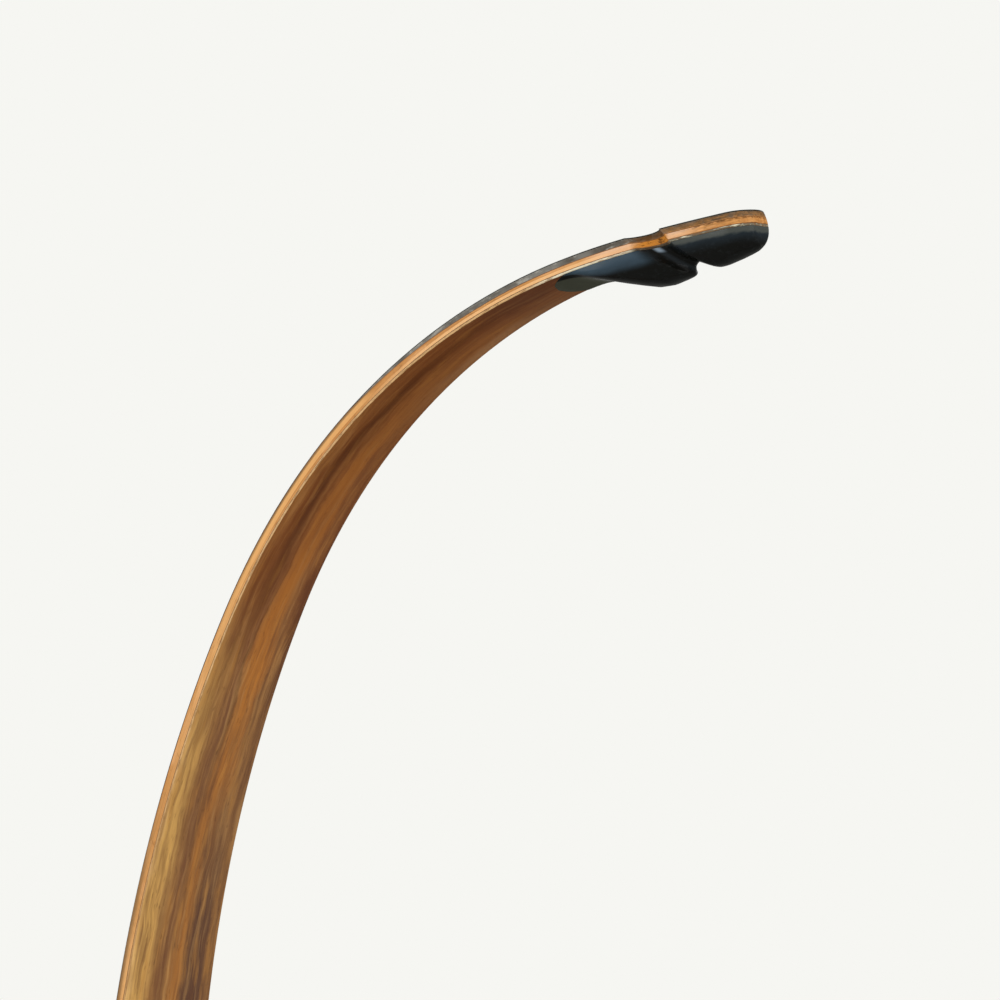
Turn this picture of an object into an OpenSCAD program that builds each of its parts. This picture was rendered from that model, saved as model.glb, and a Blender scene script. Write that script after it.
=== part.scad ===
// Take-down recurve bow, unstrung, standing upright.
// +X points at the target, +Z up and +Y to the archer's left. Millimetres.
// The origin is the throat of the grip, where the hand presses.
// A limb is drawn as an upper one. Its back face is the reference: u runs from the butt
// end to the tip along that face, and h is the depth below it, towards the archer.

/* [Limb outline] */
// Length of a limb along its back face
limb_len = 550; // [520:5:600]
// Width of a limb at its butt end
limb_butt_w = 46; // [42:0.5:50]
// Width that the limb's straight sides would reach at the tip
limb_tip_w = 18; // [16:0.5:22]
// How far each side is drawn in between the overlay and the tip
tip_draw = 2.7; // [1:0.1:3.5]
// Straight length of a limb that lies on the riser's pad
butt_len = 80; // [76:1:92]
// Lean of the pad and of the butt towards the target
pad_angle = 5; // [2:0.5:9]
// Radius of the long easy bend above the butt
body_r = 460; // [400:1:600]
// Radius of the curl
curl_r = 237; // [220:1:300]
// Length of the curl
curl_len = 190; // [160:1:210]
// Radius of the stretch between the curl and the tip
tip_r = 490; // [300:5:600]
// Length of the stretch between the curl and the tip
tip_len = 65; // [60:1:80]

/* [Limb laminations] */
// Thickness of the clear glass on the back
back_glass_t = 0.7; // [0.5:0.1:1.2]
// Thickness of the walnut veneer under the clear glass
back_veneer_t = 0.2; // [0.2:0.1:0.6]
// Thickness of the back core
back_core_t = 0.9; // [0.7:0.1:1.4]
// Thickness of the belly core at the butt
belly_core_butt_t = 2.4; // [2:0.1:3]
// Thickness of the belly core and the grey wedge together at the tip
belly_core_tip_t = 2.2; // [2:0.1:2.6]
// Thickness of the pale veneer on the belly side
belly_veneer_t = 0.2; // [0.2:0.1:0.6]
// Thickness of the dark glass on the belly
belly_glass_t = 0.4; // [0.4:0.1:1.0]
// Thickness of the wedge under the bolt
butt_wedge_t = 6; // [5:0.5:7]
// Length of the butt wedge
butt_wedge_len = 140; // [130:5:200]
// Thickness of the grey wedge at the tip
tip_wedge_t = 1.5; // [1:0.1:1.6]
// Length of the grey wedge at the tip
tip_wedge_len = 165; // [140:5:200]
// Length over which the grey wedge grows to its thickness
tip_wedge_ramp = 60; // [40:5:80]

/* [Tip and string nock] */
// Height of the overlay's hump
hump_h = 10.3; // [8:0.1:12]
// Height of the overlay between the nock and the tip
nose_h = 8.7; // [7:0.1:10]
// Length of the overlay, from the tip to its feathered end
overlay_len = 72; // [66:1:80]
// Distance from the tip to the string nock, at the back face
nock_s = 32; // [30:0.5:35]
// How far the string groove runs from the tip for each millimetre of depth
nock_slant = 0.85; // [0.6:0.05:1.1]
// Depth of the string groove in a side of the limb
nock_depth = 3.2; // [2:0.1:3.5]
// Radius of the rounded tip, seen from the back
tip_round = 7; // [5:0.5:9]

/* [Riser] */
// Height of the riser
riser_len = 560; // [540:5:600]
// Depth of the riser at the throat
throat_d = 46; // [44:0.5:48]
// Distance of the pad's lower edge in front of the throat
pad_x = 18; // [14:1:22]
// Thickness of the centre block
core_block_t = 20; // [18:1:21]
// Thickness of each pale stripe
stripe_t = 3; // [2:0.5:3.5]
// Height of the arrow shelf above the throat
shelf_z = 22; // [20:1:26]
// Height of the straight part of the sight window
window_h = 105; // [90:5:115]
// How far the window is cut past the centre line
window_past = 4; // [2:0.5:5]
// Thickness of the arrow shelf pad
shelf_pad_t = 1.5; // [1:0.5:2.5]
// Thickness of the strike plate
strike_t = 1.2; // [0.8:0.2:2]

/* [Hardware] */
// Distance of the limb bolt from the butt end
bolt_u = 44; // [40:1:50]
// Radius of the limb bolt's thread, an M8
bolt_r = 4; // [3:0.5:5]
// Length of thread held in the insert
bolt_grip = 19; // [17:0.5:19]
// Radius of the limb bolt's head
bolt_head_r = 8.5; // [8:0.5:10]
// Height of the limb bolt's head
bolt_head_h = 7; // [6:0.5:9]
// Radius of the washer under the bolt head
washer_r = 12; // [11:0.5:14]
// Thickness of the washer
washer_t = 2; // [1.5:0.5:3]
// Wall of the brass insert
insert_wall = 2; // [1.5:0.25:2.5]
// Radius of an alignment pin
pin_r = 3; // [2.5:0.25:3.5]
// Length of an alignment pin that stands out of the pad
pin_out = 7.5; // [6:0.5:7.5]
// Length of an alignment pin held in the riser
pin_in = 11; // [9:0.5:12]
// Distance of the first alignment pin from the butt end
pin_low_u = 15; // [12:1:20]
// Distance of the second alignment pin from the butt end
pin_high_u = 68; // [62:1:70]
// Radius of the threads in the stabilizer and plunger bushings, 5/16 inch
accessory_r = 3.97; // [3.5:0.01:4.5]
// Radius of the threads in the sight bushings, number 10
sight_r = 2.41; // [2:0.01:3]
// Distance between the two sight bushings
sight_pitch = 33.34; // [30:0.02:36]
// Wall of the accessory bushings
bushing_wall = 2; // [1.5:0.25:2.5]
// Length of the stabilizer bushing
stab_len = 22; // [16:1:26]
// Height of the stabilizer bushing, below the throat
stab_z = -138; // [-150:1:-128]
// Height of the plunger bushing above the throat
plunger_z = 46; // [44:1:52]
// Height of the lower sight bushing above the plunger bushing
sight_rise = 36; // [32:1:40]
// Distance of the plunger and sight bushings in front of the throat
accessory_x = 14; // [10:1:18]

/* [Clearances] */
// Gap round a thread or pin that turns or slides
run_gap = 0.05; // [0.02:0.01:0.1]
// Gap round a glued or pressed insert
seat_gap = 0.02; // [0.01:0.01:0.05]
// Gap round the bolt's shank where it passes through the limb
hole_gap = 0.3; // [0.2:0.1:0.6]
// Gap between the butt end and the riser's step
butt_gap = 0.4; // [0.3:0.1:1]

/* [Hidden] */
$fn = 48;

// Spacing of the cross-sections along a limb, in the nock and round the tip
ring_step = 15;
nock_step = 2.5;
overlay_step = 4.5;
tip_rings = 5;
// Thickness left at the feathered end of a wedge or overlay
feather_t = 0.12;
// Length over which a feathered end stops
feather_len = 0.6;
// Extra reach of a cutting tool past what it cuts
over = 1;
// Far enough to pass through the whole riser
through = 200;

body_len = limb_len - butt_len - curl_len - tip_len;
body_end = butt_len + body_len;
curl_end = body_end + curl_len;

// Tangent of the limb, measured from the vertical towards the target
function turn(len, r) = len / r * 180 / PI;
function angle_at(u) =
    u <= butt_len ? pad_angle
    : u <= body_end ? pad_angle + turn(u - butt_len, body_r)
    : u <= curl_end ? angle_at(body_end) + turn(u - body_end, curl_r)
    : angle_at(curl_end) + turn(u - curl_end, tip_r);

// Path of a stretch that starts at angle a and bends at radius r
function arc_step(a, r, len) =
    let (b = a + turn(len, r)) r * [cos(a) - cos(b), sin(b) - sin(a)];
function path_at(u) =
    u <= butt_len ? u * [sin(pad_angle), cos(pad_angle)]
    : u <= body_end ? path_at(butt_len) + arc_step(pad_angle, body_r, u - butt_len)
    : u <= curl_end ? path_at(body_end) + arc_step(angle_at(body_end), curl_r, u - body_end)
    : path_at(curl_end) + arc_step(angle_at(curl_end), tip_r, u - curl_end);

// Thickness of each lamination along the limb
function fade(d, len, t) = d > feather_len ? t * min(d / len, 1) + feather_t : 0;
function butt_wedge_at(u) = u <= butt_len ? butt_wedge_t
    : fade(butt_wedge_len + feather_len - u, butt_wedge_len - butt_len, butt_wedge_t - feather_t);
function tip_wedge_at(u) =
    fade(u - (limb_len - tip_wedge_len) + feather_len, tip_wedge_ramp, tip_wedge_t - feather_t);
// The belly core gives way to the grey wedge
function belly_core_at(u) = belly_core_butt_t
    + (belly_core_tip_t - belly_core_butt_t) * max(u - butt_len, 0) / (limb_len - butt_len)
    - tip_wedge_at(u);

// Depth of the k-th glue line below the back face, from 0, the back, to 8, the belly
function depth(u, k) =
    (k > 0 ? back_glass_t : 0) + (k > 1 ? back_veneer_t : 0) + (k > 2 ? back_core_t : 0)
    + (k > 3 ? butt_wedge_at(u) : 0) + (k > 4 ? belly_core_at(u) : 0)
    + (k > 5 ? belly_veneer_t : 0) + (k > 6 ? tip_wedge_at(u) : 0)
    + (k > 7 ? belly_glass_t : 0);
butt_t = depth(0, 8);

pin_us = [pin_low_u, pin_high_u];

// A limb's butt end in the bow, and the pad that it lies on
pad_z = riser_len / 2 - butt_len * cos(pad_angle);
pad_normal = [cos(pad_angle), -sin(pad_angle)];
limb_at = [pad_x, pad_z] + butt_t * pad_normal;
function limb_xz(u, h) = limb_at + path_at(u) + h * [-cos(angle_at(u)), sin(angle_at(u))];

// Bell-shaped cut of the string groove, deepest at its centre line
groove_half = 5.5;
groove_narrow = 2.7;
function groove_mid(h) = nock_s + nock_slant * h;
function groove_reach(h) = groove_narrow
    + (groove_half - groove_narrow) * max(h + hump_h, 0) / hump_h;
function bell(x) = abs(x) < 1 ? pow(cos(90 * x), 2) : 0;
function groove(u, h) = bell((limb_len - u - groove_mid(h)) / groove_reach(h));

// Half width of the limb, drawn in towards the tip and at the nock, and rounded at the tip
draw_from = 60;
draw_len = 50;
function ease(x) = let (t = min(max(x, 0), 1)) t * t * (3 - 2 * t);
function plain_half(u) = (limb_butt_w + (limb_tip_w - limb_butt_w) * u / limb_len) / 2
    - tip_draw * ease((draw_from - limb_len + u) / draw_len);
function round_share(u) = let (s = limb_len - u)
    s >= tip_round ? 1 : sqrt(max(1 - pow((tip_round - s) / tip_round, 2), 0));
function half_at(u, h) = plain_half(u) * round_share(u) - nock_depth * groove(u, h);

// Stations shared by all laminations, so that glued faces meet
nock_margin = 14;
nock_from = limb_len - nock_s - nock_margin;
nock_to = limb_len - nock_s + nock_margin;
overlay_from = limb_len - overlay_len;
tip_from = limb_len - tip_round;
function evenly(a, b, step) = let (n = ceil((b - a) / step)) [for (i = [1:n]) a + (b - a) * i / n];
tip_stations = [for (i = [1:tip_rings]) tip_from + tip_round * sin(78 * i / tip_rings)];
wedge_marks = [butt_wedge_len, butt_wedge_len + feather_len,
    limb_len - tip_wedge_len - feather_len, limb_len - tip_wedge_len,
    limb_len - tip_wedge_len - feather_len + tip_wedge_ramp];
stations = concat([0, butt_len], evenly(butt_len, wedge_marks[0], ring_step), [wedge_marks[1]],
    evenly(wedge_marks[1], wedge_marks[2], ring_step), [wedge_marks[3]],
    evenly(wedge_marks[3], wedge_marks[4], ring_step),
    evenly(wedge_marks[4], overlay_from, ring_step),
    evenly(overlay_from, nock_from, overlay_step), evenly(nock_from, nock_to, nock_step),
    evenly(nock_to, tip_from, nock_step * 2), tip_stations);
function between(a, b) = [for (u = stations) if (u >= a - 0.001 && u <= b + 0.001) u];

// Triangles that close a ring of n points, in a strip from its first point to its middle
function cap_faces(n) = [for (i = [0:ceil(n / 2) - 2]) each
    i + 1 < n - 2 - i ? [[i, i + 1, n - 1 - i], [i + 1, n - 2 - i, n - 1 - i]]
    : [[i, i + 1, n - 1 - i]]];
// A closed skin over rings of equally many points, each ring a list in order
module skin(rings) {
    n = len(rings[0]);
    m = len(rings);
    faces = concat(
        [for (i = [0:m - 2], j = [0:n - 1]) [i * n + j, i * n + (j + 1) % n, (i + 1) * n + j]],
        [for (i = [0:m - 2], j = [0:n - 1])
            [i * n + (j + 1) % n, (i + 1) * n + (j + 1) % n, (i + 1) * n + j]],
        [for (f = cap_faces(n)) [f[0], f[2], f[1]]],
        [for (f = cap_faces(n)) [for (c = f) (m - 1) * n + c]]);
    polyhedron([for (r = rings) for (p = r) p], faces);
}

function limb_xyz(u, y, h) = let (p = limb_xz(u, h)) [p[0], y, p[1]];

// One lamination, between two glue lines, over the stations in us
module lamination(us, k) {
    skin([for (u = us) let (a = depth(u, k), b = depth(u, k + 1),
            wa = half_at(u, a), wb = half_at(u, b))
        [limb_xyz(u, -wa, a), limb_xyz(u, wa, a), limb_xyz(u, wb, b), limb_xyz(u, -wb, b)]]);
}

// Puts a child's +Z along the pad's normal, at u along the butt and h below the back face
module at_butt(u, h) {
    p = limb_xz(u, h);
    translate([p[0], 0, p[1]])
        rotate([0, 90 + pad_angle, 0])
            children();
}

// Puts a child's +Z along the pad's normal, on the pad
module on_pad(u) {
    at_butt(u, butt_t)
        children();
}

// The bolt's hole and the pins' holes, cut through the whole butt or only from the pad
module bolt_hole() {
    on_pad(bolt_u)
        translate([0, 0, -over])
            cylinder(h = butt_t + 2 * over, r = bolt_r + hole_gap);
}
module pin_holes() {
    for (u = pin_us)
        on_pad(u)
            translate([0, 0, -over])
                cylinder(h = pin_out + hole_gap + over, r = pin_r + run_gap);
}
module drilled(pins) {
    difference() {
        children();
        bolt_hole();
        if (pins)
            pin_holes();
    }
}

module back_glass() {
    color([0.85, 0.78, 0.6])
        drilled(false)
            lamination(stations, 0);
}
module back_veneer() {
    color([0.45, 0.22, 0.1])
        drilled(false)
            lamination(stations, 1);
}
module back_core() {
    color([0.85, 0.5, 0.2])
        drilled(false)
            lamination(stations, 2);
}
module butt_wedge() {
    color([0.35, 0.17, 0.1])
        drilled(true)
            lamination(between(0, wedge_marks[0]), 3);
}
module belly_core() {
    color([0.8, 0.45, 0.18])
        drilled(true)
            lamination(stations, 4);
}
module tip_wedge() {
    color([0.42, 0.41, 0.38])
        lamination(between(wedge_marks[3], limb_len), 6);
}
module belly_veneer() {
    color([0.8, 0.7, 0.5])
        drilled(true)
            lamination(stations, 5);
}
module belly_glass() {
    color([0.08, 0.1, 0.09])
        drilled(true)
            lamination(stations, 7);
}

// Height of the overlay's ridge above the back face, at a distance s from the tip
ridge_marks = [[0, 0.5 * nose_h], [2, 0.68 * nose_h], [6, 0.87 * nose_h], [11, 0.97 * nose_h],
    [15, nose_h], [18, 0.95 * nose_h], [21, 0.91 * nose_h], [25, 0.9 * hump_h],
    [30, 0.97 * hump_h], [35, hump_h], [39.5, 0.94 * hump_h], [44, 0.8 * hump_h],
    [49, 0.63 * hump_h], [54, 0.42 * hump_h], [59, 0.2 * hump_h], [65, 0.06 * hump_h],
    [overlay_len, feather_t]];
function ridge(s) = max(lookup(s, ridge_marks), feather_t);

// The overlay is crowned, and the string groove crosses its ridge
crown_points = 10;
notch_depth = 3;
module tip_overlay() {
    color([0.08, 0.09, 0.1])
        skin([for (u = between(overlay_from, limb_len))
            let (top = ridge(limb_len - u))
            [for (i = [0:crown_points])
                let (a = 180 * i / crown_points, h = -top * sin(a),
                    cut = groove(u, h) * min(top / notch_depth, 1))
                limb_xyz(u, half_at(u, h) * cos(a),
                    -max(top - notch_depth * cut, feather_t) * sin(a))]]);
}

// Hardware that goes with a limb
bolt_shank_r = bolt_r - run_gap;
module bolt_washer() {
    chamfer = 0.5;
    color([0.2, 0.2, 0.21])
        at_butt(bolt_u, 0)
            rotate_extrude()
                polygon([[bolt_r + hole_gap, 0], [washer_r, 0], [washer_r, washer_t - chamfer],
                    [washer_r - chamfer, washer_t], [bolt_r + hole_gap, washer_t]]);
}
module limb_bolt() {
    key_r = 3.46;
    key_depth = 4;
    chamfer = 1;
    reach = butt_t + bolt_grip;
    color([0.25, 0.25, 0.26])
        at_butt(bolt_u, 0)
            difference() {
                rotate_extrude()
                    polygon([[0, -reach], [bolt_shank_r - chamfer, -reach],
                        [bolt_shank_r, chamfer - reach], [bolt_shank_r, washer_t],
                        [bolt_head_r, washer_t], [bolt_head_r, washer_t + bolt_head_h - chamfer],
                        [bolt_head_r - chamfer, washer_t + bolt_head_h],
                        [0, washer_t + bolt_head_h]]);
                translate([0, 0, washer_t + bolt_head_h - key_depth])
                    cylinder(h = key_depth + over, r = key_r, $fn = 6);
            }
}

// The riser's cross-sections: height, belly side, back side, squareness, and share of the
// way from the stripe's outer face to the limb's half width
riser_marks = [
    [-280, 4, 38, 4.6, 0.8], [-240, -3, 35, 4.6, 0.9], [-200, -9, 31, 4.2, 1],
    [-165, -9, 34, 3.6, 0.94], [-130, -8, 39, 3.2, 0.8], [-106, -16, 41, 3, 0.64],
    [-82, -22, 42, 2.8, 0.48], [-50, -14, 43.5, 2.6, 0.28], [-22, -4, 45, 2.5, 0.15],
    [0, 0, 46, 2.5, 0.12], [12, -3, 47, 2.7, 0.3], [26, -11, 50, 3, 0.8],
    [60, -9, 48, 3.2, 0.9], [100, -7, 44, 3.4, 0.9], [150, -8, 38, 3.6, 0.94],
    [200, -9, 31, 4.2, 1], [240, -3, 35, 4.6, 0.9], [280, 4, 38, 4.6, 0.8]
];
// Heights stretch with the riser, and depths with its throat
riser_stretch = riser_len / 560;
depth_stretch = throat_d / 46;
last_mark = len(riser_marks) - 1;
core_y = core_block_t / 2;
stripe_y = core_y + stripe_t;
function hermite(a, b, ta, tb, t) = let (t2 = t * t, t3 = t2 * t)
    (2 * t3 - 3 * t2 + 1) * a + (t3 - 2 * t2 + t) * ta + (3 * t2 - 2 * t3) * b + (t3 - t2) * tb;
function slope(i, c) = let (a = riser_marks[max(i - 1, 0)], b = riser_marks[min(i + 1, last_mark)])
    (b[c] - a[c]) / (b[0] - a[0]);
function mark_below(m, i = 0) = i < last_mark - 1 && riser_marks[i + 1][0] <= m
    ? mark_below(m, i + 1) : i;
function riser_value(z, c) =
    let (m = z / riser_stretch, i = mark_below(m), p = riser_marks[i], q = riser_marks[i + 1],
        d = q[0] - p[0])
    hermite(p[c], q[c], slope(i, c) * d, slope(i + 1, c) * d, (m - p[0]) / d)
        * (c < 3 ? depth_stretch : 1);
function section_w(z) = stripe_y + riser_value(z, 4) * (limb_butt_w / 2 - stripe_y);

// The butt's step in the riser, and the pad's plane above it
step_z = limb_at[1] - butt_gap;
function pad_plane(z) = pad_x + (abs(z) - pad_z) * tan(pad_angle);
function clipped(x, z) = abs(z) > step_z ? min(x, pad_plane(z)) : x;

// The sight window: a flat shelf, a wall past the centre line and a curved upper end
window_run = 36;
window_top = shelf_z + window_h;
window_side = limb_butt_w;
function ramp_z(y) = window_top
    + window_run * sin(acos(1 - (y + window_past) / (window_side + window_past)));
function ramp_y(z) = (window_side + window_past) * (1 - cos(asin((z - window_top) / window_run)))
    - window_past;
function left_limit(z) = z < shelf_z || z >= ramp_z(core_y) ? core_y
    : z <= window_top ? -window_past : ramp_y(z);

// Heights of the sections: the marks, one between two distant marks, and the steps
step_t = 0.05;
mark_zs = [for (i = [0:last_mark - 1])
    let (a = riser_marks[i][0], b = riser_marks[i + 1][0], n = b - a > 30 ? 2 : 1)
    for (k = [0:n - 1]) (a + (b - a) * k / n) * riser_stretch];
step_zs = [for (z = [-step_z - step_t, -step_z, step_z, step_z + step_t]) z];
shelf_zs = [shelf_z - step_t, shelf_z];
ramp_zs = concat([window_top], [for (k = [1:3]) ramp_z(core_y * (k / 3) - window_past * (1 - k / 3))]);
function sorted(v) = len(v) < 2 ? v
    : let (p = v[floor(len(v) / 2)])
    concat(sorted([for (x = v) if (x < p) x]), [p], sorted([for (x = v) if (x > p) x]));
function in_reach(zs, z0, z1) = [for (z = zs) if (z > z0 + 1 && z < z1 - 1) z];
function clear_of(zs, marks) = [for (z = zs) if (min([for (m = marks) abs(z - m)]) > 2) z];
riser_end = riser_len / 2;
core_zs = sorted(concat(clear_of(mark_zs, concat(step_zs, shelf_zs, ramp_zs, [riser_end])),
    step_zs, shelf_zs, ramp_zs, [riser_end]));
side_zs = sorted(concat(clear_of(mark_zs, concat(step_zs, [riser_end])), step_zs, [riser_end]));

// A section's front or back point in the plane y
function section_x(z, y, side) =
    let (x0 = riser_value(z, 1), x1 = riser_value(z, 2), e = riser_value(z, 3))
    clipped((x0 + x1) / 2
        + side * (x1 - x0) / 2 * pow(1 - pow(abs(y) / section_w(z), e), 1 / e), z);
function layer_ring(z, ys, rise = 0) =
    concat([for (y = ys) [section_x(z, y, 1), y, z + rise * (y - ys[0])]],
        [for (j = [len(ys) - 1:-1:0])
            [section_x(z, ys[j], -1), ys[j], z + rise * (ys[j] - ys[0])]]);
side_points = 12;
function side_ring(z, rise = 0) =
    let (x0 = riser_value(z, 1), x1 = riser_value(z, 2), e = riser_value(z, 3),
        w = section_w(z), start = asin(pow(stripe_y / w, e / 2)))
    [for (j = [0:side_points])
        let (a = start + (180 - 2 * start) * j / side_points, y = w * pow(sin(a), 2 / e))
        [clipped((x0 + x1) / 2 + (x1 - x0) / 2 * sign(cos(a)) * pow(abs(cos(a)), 2 / e), z),
            y, z + rise * (y - stripe_y)]];

// The lower edge of the layers above the window follows the window's curved end
ramp_rise = (ramp_z(limb_butt_w / 2) - ramp_z(stripe_y)) / (limb_butt_w / 2 - stripe_y);
stripe_rise = (ramp_z(stripe_y) - ramp_z(core_y)) / stripe_t;

// What the limb's butt and its hardware take out of the riser
insert_r = bolt_r + insert_wall;
insert_len = bolt_grip + over;
module insert_bore() {
    on_pad(bolt_u)
        translate([0, 0, -insert_len - seat_gap])
            cylinder(h = insert_len + over, r = insert_r + seat_gap);
}
module pin_bores() {
    for (u = pin_us)
        on_pad(u)
            translate([0, 0, -pin_in - seat_gap])
                cylinder(h = pin_in + over, r = pin_r + seat_gap);
}
stab_r = accessory_r + bushing_wall;
stab_front = 39 * depth_stretch;
module stab_bore() {
    translate([stab_front - stab_len - seat_gap, 0, stab_z])
        rotate([0, 90, 0])
            cylinder(h = stab_len + through, r = stab_r + seat_gap);
}
// Outer end of the plunger and sight bushings, on the archer's right
side_face = -limb_butt_w / 2 + 1.5;
module plunger_bore() {
    translate([accessory_x, side_face - through, plunger_z])
        rotate([-90, 0, 0])
            cylinder(h = 2 * through, r = stab_r + seat_gap);
}
sight_len = 7.5;
sight_z = plunger_z + sight_rise;
module sight_bores() {
    for (z = [sight_z, sight_z + sight_pitch])
        translate([accessory_x, side_face - over * 4, z])
            rotate([-90, 0, 0])
                cylinder(h = sight_len + over * 4 + seat_gap,
                    r = sight_r + bushing_wall + seat_gap);
}

module centre_block() {
    color([0.42, 0.2, 0.1])
        difference() {
            skin([for (z = core_zs) let (y1 = left_limit(z))
                layer_ring(z, [for (k = [0:4]) -core_y + (core_y + y1) * k / 4])]);
            insert_bore();
            pin_bores();
            low() {
                insert_bore();
                pin_bores();
            }
            stab_bore();
            plunger_bore();
        }
}
module right_stripe() {
    color([0.85, 0.72, 0.5])
        difference() {
            skin([for (z = side_zs) layer_ring(z, [-stripe_y, -core_y])]);
            plunger_bore();
        }
}
module right_block() {
    color([0.5, 0.26, 0.13])
        difference() {
            mirror([0, 1, 0])
                skin([for (z = side_zs) side_ring(z)]);
            plunger_bore();
            sight_bores();
        }
}
module upper_left_stripe() {
    from = ramp_z(core_y);
    color([0.85, 0.72, 0.5])
        skin(concat([layer_ring(from, [core_y, stripe_y], stripe_rise)],
            [for (z = in_reach(side_zs, from + stripe_rise * stripe_t, riser_len))
                layer_ring(z, [core_y, stripe_y])]));
}
module upper_left_block() {
    from = ramp_z(stripe_y);
    color([0.5, 0.26, 0.13])
        skin(concat([side_ring(from, ramp_rise)],
            [for (z = in_reach(side_zs, ramp_z(limb_butt_w / 2), riser_len)) side_ring(z)]));
}
module lower_left_stripe() {
    color([0.85, 0.72, 0.5])
        skin([for (z = concat(in_reach(side_zs, -riser_len, shelf_z), [shelf_z - step_t]))
            layer_ring(z, [core_y, stripe_y])]);
}
module lower_left_block() {
    color([0.5, 0.26, 0.13])
        skin([for (z = concat(in_reach(side_zs, -riser_len, shelf_z), [shelf_z - step_t]))
            side_ring(z)]);
}

// Metal seats and pins in the riser
module tube(len, r_out, r_in) {
    difference() {
        cylinder(h = len, r = r_out);
        translate([0, 0, -over])
            cylinder(h = len + 2 * over, r = r_in);
    }
}
module limb_insert() {
    color([0.8, 0.62, 0.3])
        on_pad(bolt_u)
            translate([0, 0, -insert_len])
                tube(insert_len, insert_r, bolt_r);
}
module align_pins() {
    color([0.7, 0.7, 0.72])
        for (u = pin_us)
            on_pad(u)
                translate([0, 0, -pin_in])
                    cylinder(h = pin_in + pin_out, r = pin_r);
}
module stabilizer_bushing() {
    color([0.8, 0.62, 0.3])
        translate([stab_front - stab_len, 0, stab_z])
            rotate([0, 90, 0])
                tube(stab_len, stab_r, accessory_r);
}
module plunger_bushing() {
    color([0.8, 0.62, 0.3])
        translate([accessory_x, side_face, plunger_z])
            rotate([-90, 0, 0])
                tube(-window_past - side_face, stab_r, accessory_r);
}
module sight_bushings() {
    color([0.8, 0.62, 0.3])
        for (z = [sight_z, sight_z + sight_pitch])
            translate([accessory_x, side_face, z])
                rotate([-90, 0, 0])
                    tube(sight_len, sight_r + bushing_wall, sight_r);
}

// Soft rest for the arrow: a pad on the shelf and a plate on the window's wall
rest_from = 0;
rest_len = 38;
rest_w = 17;
strike_h = 14;
module arrow_shelf_pad() {
    color([0.15, 0.13, 0.12])
        translate([rest_from, strike_t - window_past, shelf_z])
            cube([rest_len, rest_w, shelf_pad_t]);
}
module strike_plate() {
    color([0.3, 0.2, 0.13])
        translate([rest_from, -window_past, shelf_z])
            cube([rest_len, strike_t, strike_h]);
}

module low() {
    mirror([0, 0, 1])
        children();
}

belly_glass();  // upper_belly_glass
belly_veneer();  // upper_belly_veneer
tip_wedge();  // upper_tip_wedge
belly_core();  // upper_belly_core
butt_wedge();  // upper_butt_wedge
back_core();  // upper_back_core
back_veneer();  // upper_back_veneer
back_glass();  // upper_back_glass
tip_overlay();  // upper_tip_overlay
bolt_washer();  // upper_bolt_washer
limb_bolt();  // upper_limb_bolt
low() belly_glass();  // lower_belly_glass
low() belly_veneer();  // lower_belly_veneer
low() tip_wedge();  // lower_tip_wedge
low() belly_core();  // lower_belly_core
low() butt_wedge();  // lower_butt_wedge
low() back_core();  // lower_back_core
low() back_veneer();  // lower_back_veneer
low() back_glass();  // lower_back_glass
low() tip_overlay();  // lower_tip_overlay
low() bolt_washer();  // lower_bolt_washer
low() limb_bolt();  // lower_limb_bolt
centre_block();
right_stripe();
right_block();
upper_left_stripe();
upper_left_block();
lower_left_stripe();
lower_left_block();
limb_insert();  // upper_limb_insert
low() limb_insert();  // lower_limb_insert
align_pins();  // upper_align_pins
low() align_pins();  // lower_align_pins
stabilizer_bushing();
plunger_bushing();
sight_bushings();
arrow_shelf_pad();
strike_plate();
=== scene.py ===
"""A take-down recurve bow, unstrung and upright, dressed for a studio picture.

The frame brings the CAD nodes on their bodies. Each class below builds the smooth visible
pieces of one sub-assembly in the frame's own place, hides the nodes that they stand for and
gives each piece its finish. Sizes are millimetres until a point is made, and metres after.
"""

import logging
import math
from collections.abc import Callable, Iterable, Sequence
from dataclasses import dataclass, replace
from enum import Enum

import bmesh
import bpy
from mathutils import Matrix, Vector


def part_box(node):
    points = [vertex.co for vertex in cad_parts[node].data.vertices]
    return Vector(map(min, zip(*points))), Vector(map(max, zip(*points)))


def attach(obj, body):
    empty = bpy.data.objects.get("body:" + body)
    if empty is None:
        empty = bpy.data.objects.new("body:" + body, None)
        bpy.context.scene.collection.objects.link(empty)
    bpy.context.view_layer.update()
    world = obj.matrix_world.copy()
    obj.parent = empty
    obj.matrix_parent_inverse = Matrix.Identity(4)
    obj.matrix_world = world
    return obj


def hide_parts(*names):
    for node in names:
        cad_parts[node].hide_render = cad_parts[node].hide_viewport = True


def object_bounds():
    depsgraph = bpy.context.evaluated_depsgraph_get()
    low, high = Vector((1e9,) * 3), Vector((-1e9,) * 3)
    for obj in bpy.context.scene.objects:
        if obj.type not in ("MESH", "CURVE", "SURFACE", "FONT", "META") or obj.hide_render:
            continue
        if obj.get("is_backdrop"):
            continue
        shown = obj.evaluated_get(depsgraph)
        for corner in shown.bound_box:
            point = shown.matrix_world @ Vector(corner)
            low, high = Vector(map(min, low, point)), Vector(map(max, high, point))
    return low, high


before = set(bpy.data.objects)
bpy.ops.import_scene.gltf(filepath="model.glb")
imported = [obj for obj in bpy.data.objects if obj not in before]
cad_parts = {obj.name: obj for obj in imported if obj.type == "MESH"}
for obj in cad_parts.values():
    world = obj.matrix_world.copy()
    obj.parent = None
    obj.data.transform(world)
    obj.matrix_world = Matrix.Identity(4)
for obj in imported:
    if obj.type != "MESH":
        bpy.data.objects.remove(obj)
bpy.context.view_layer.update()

MM = 0.001
log = logging.getLogger("bow")

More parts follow.
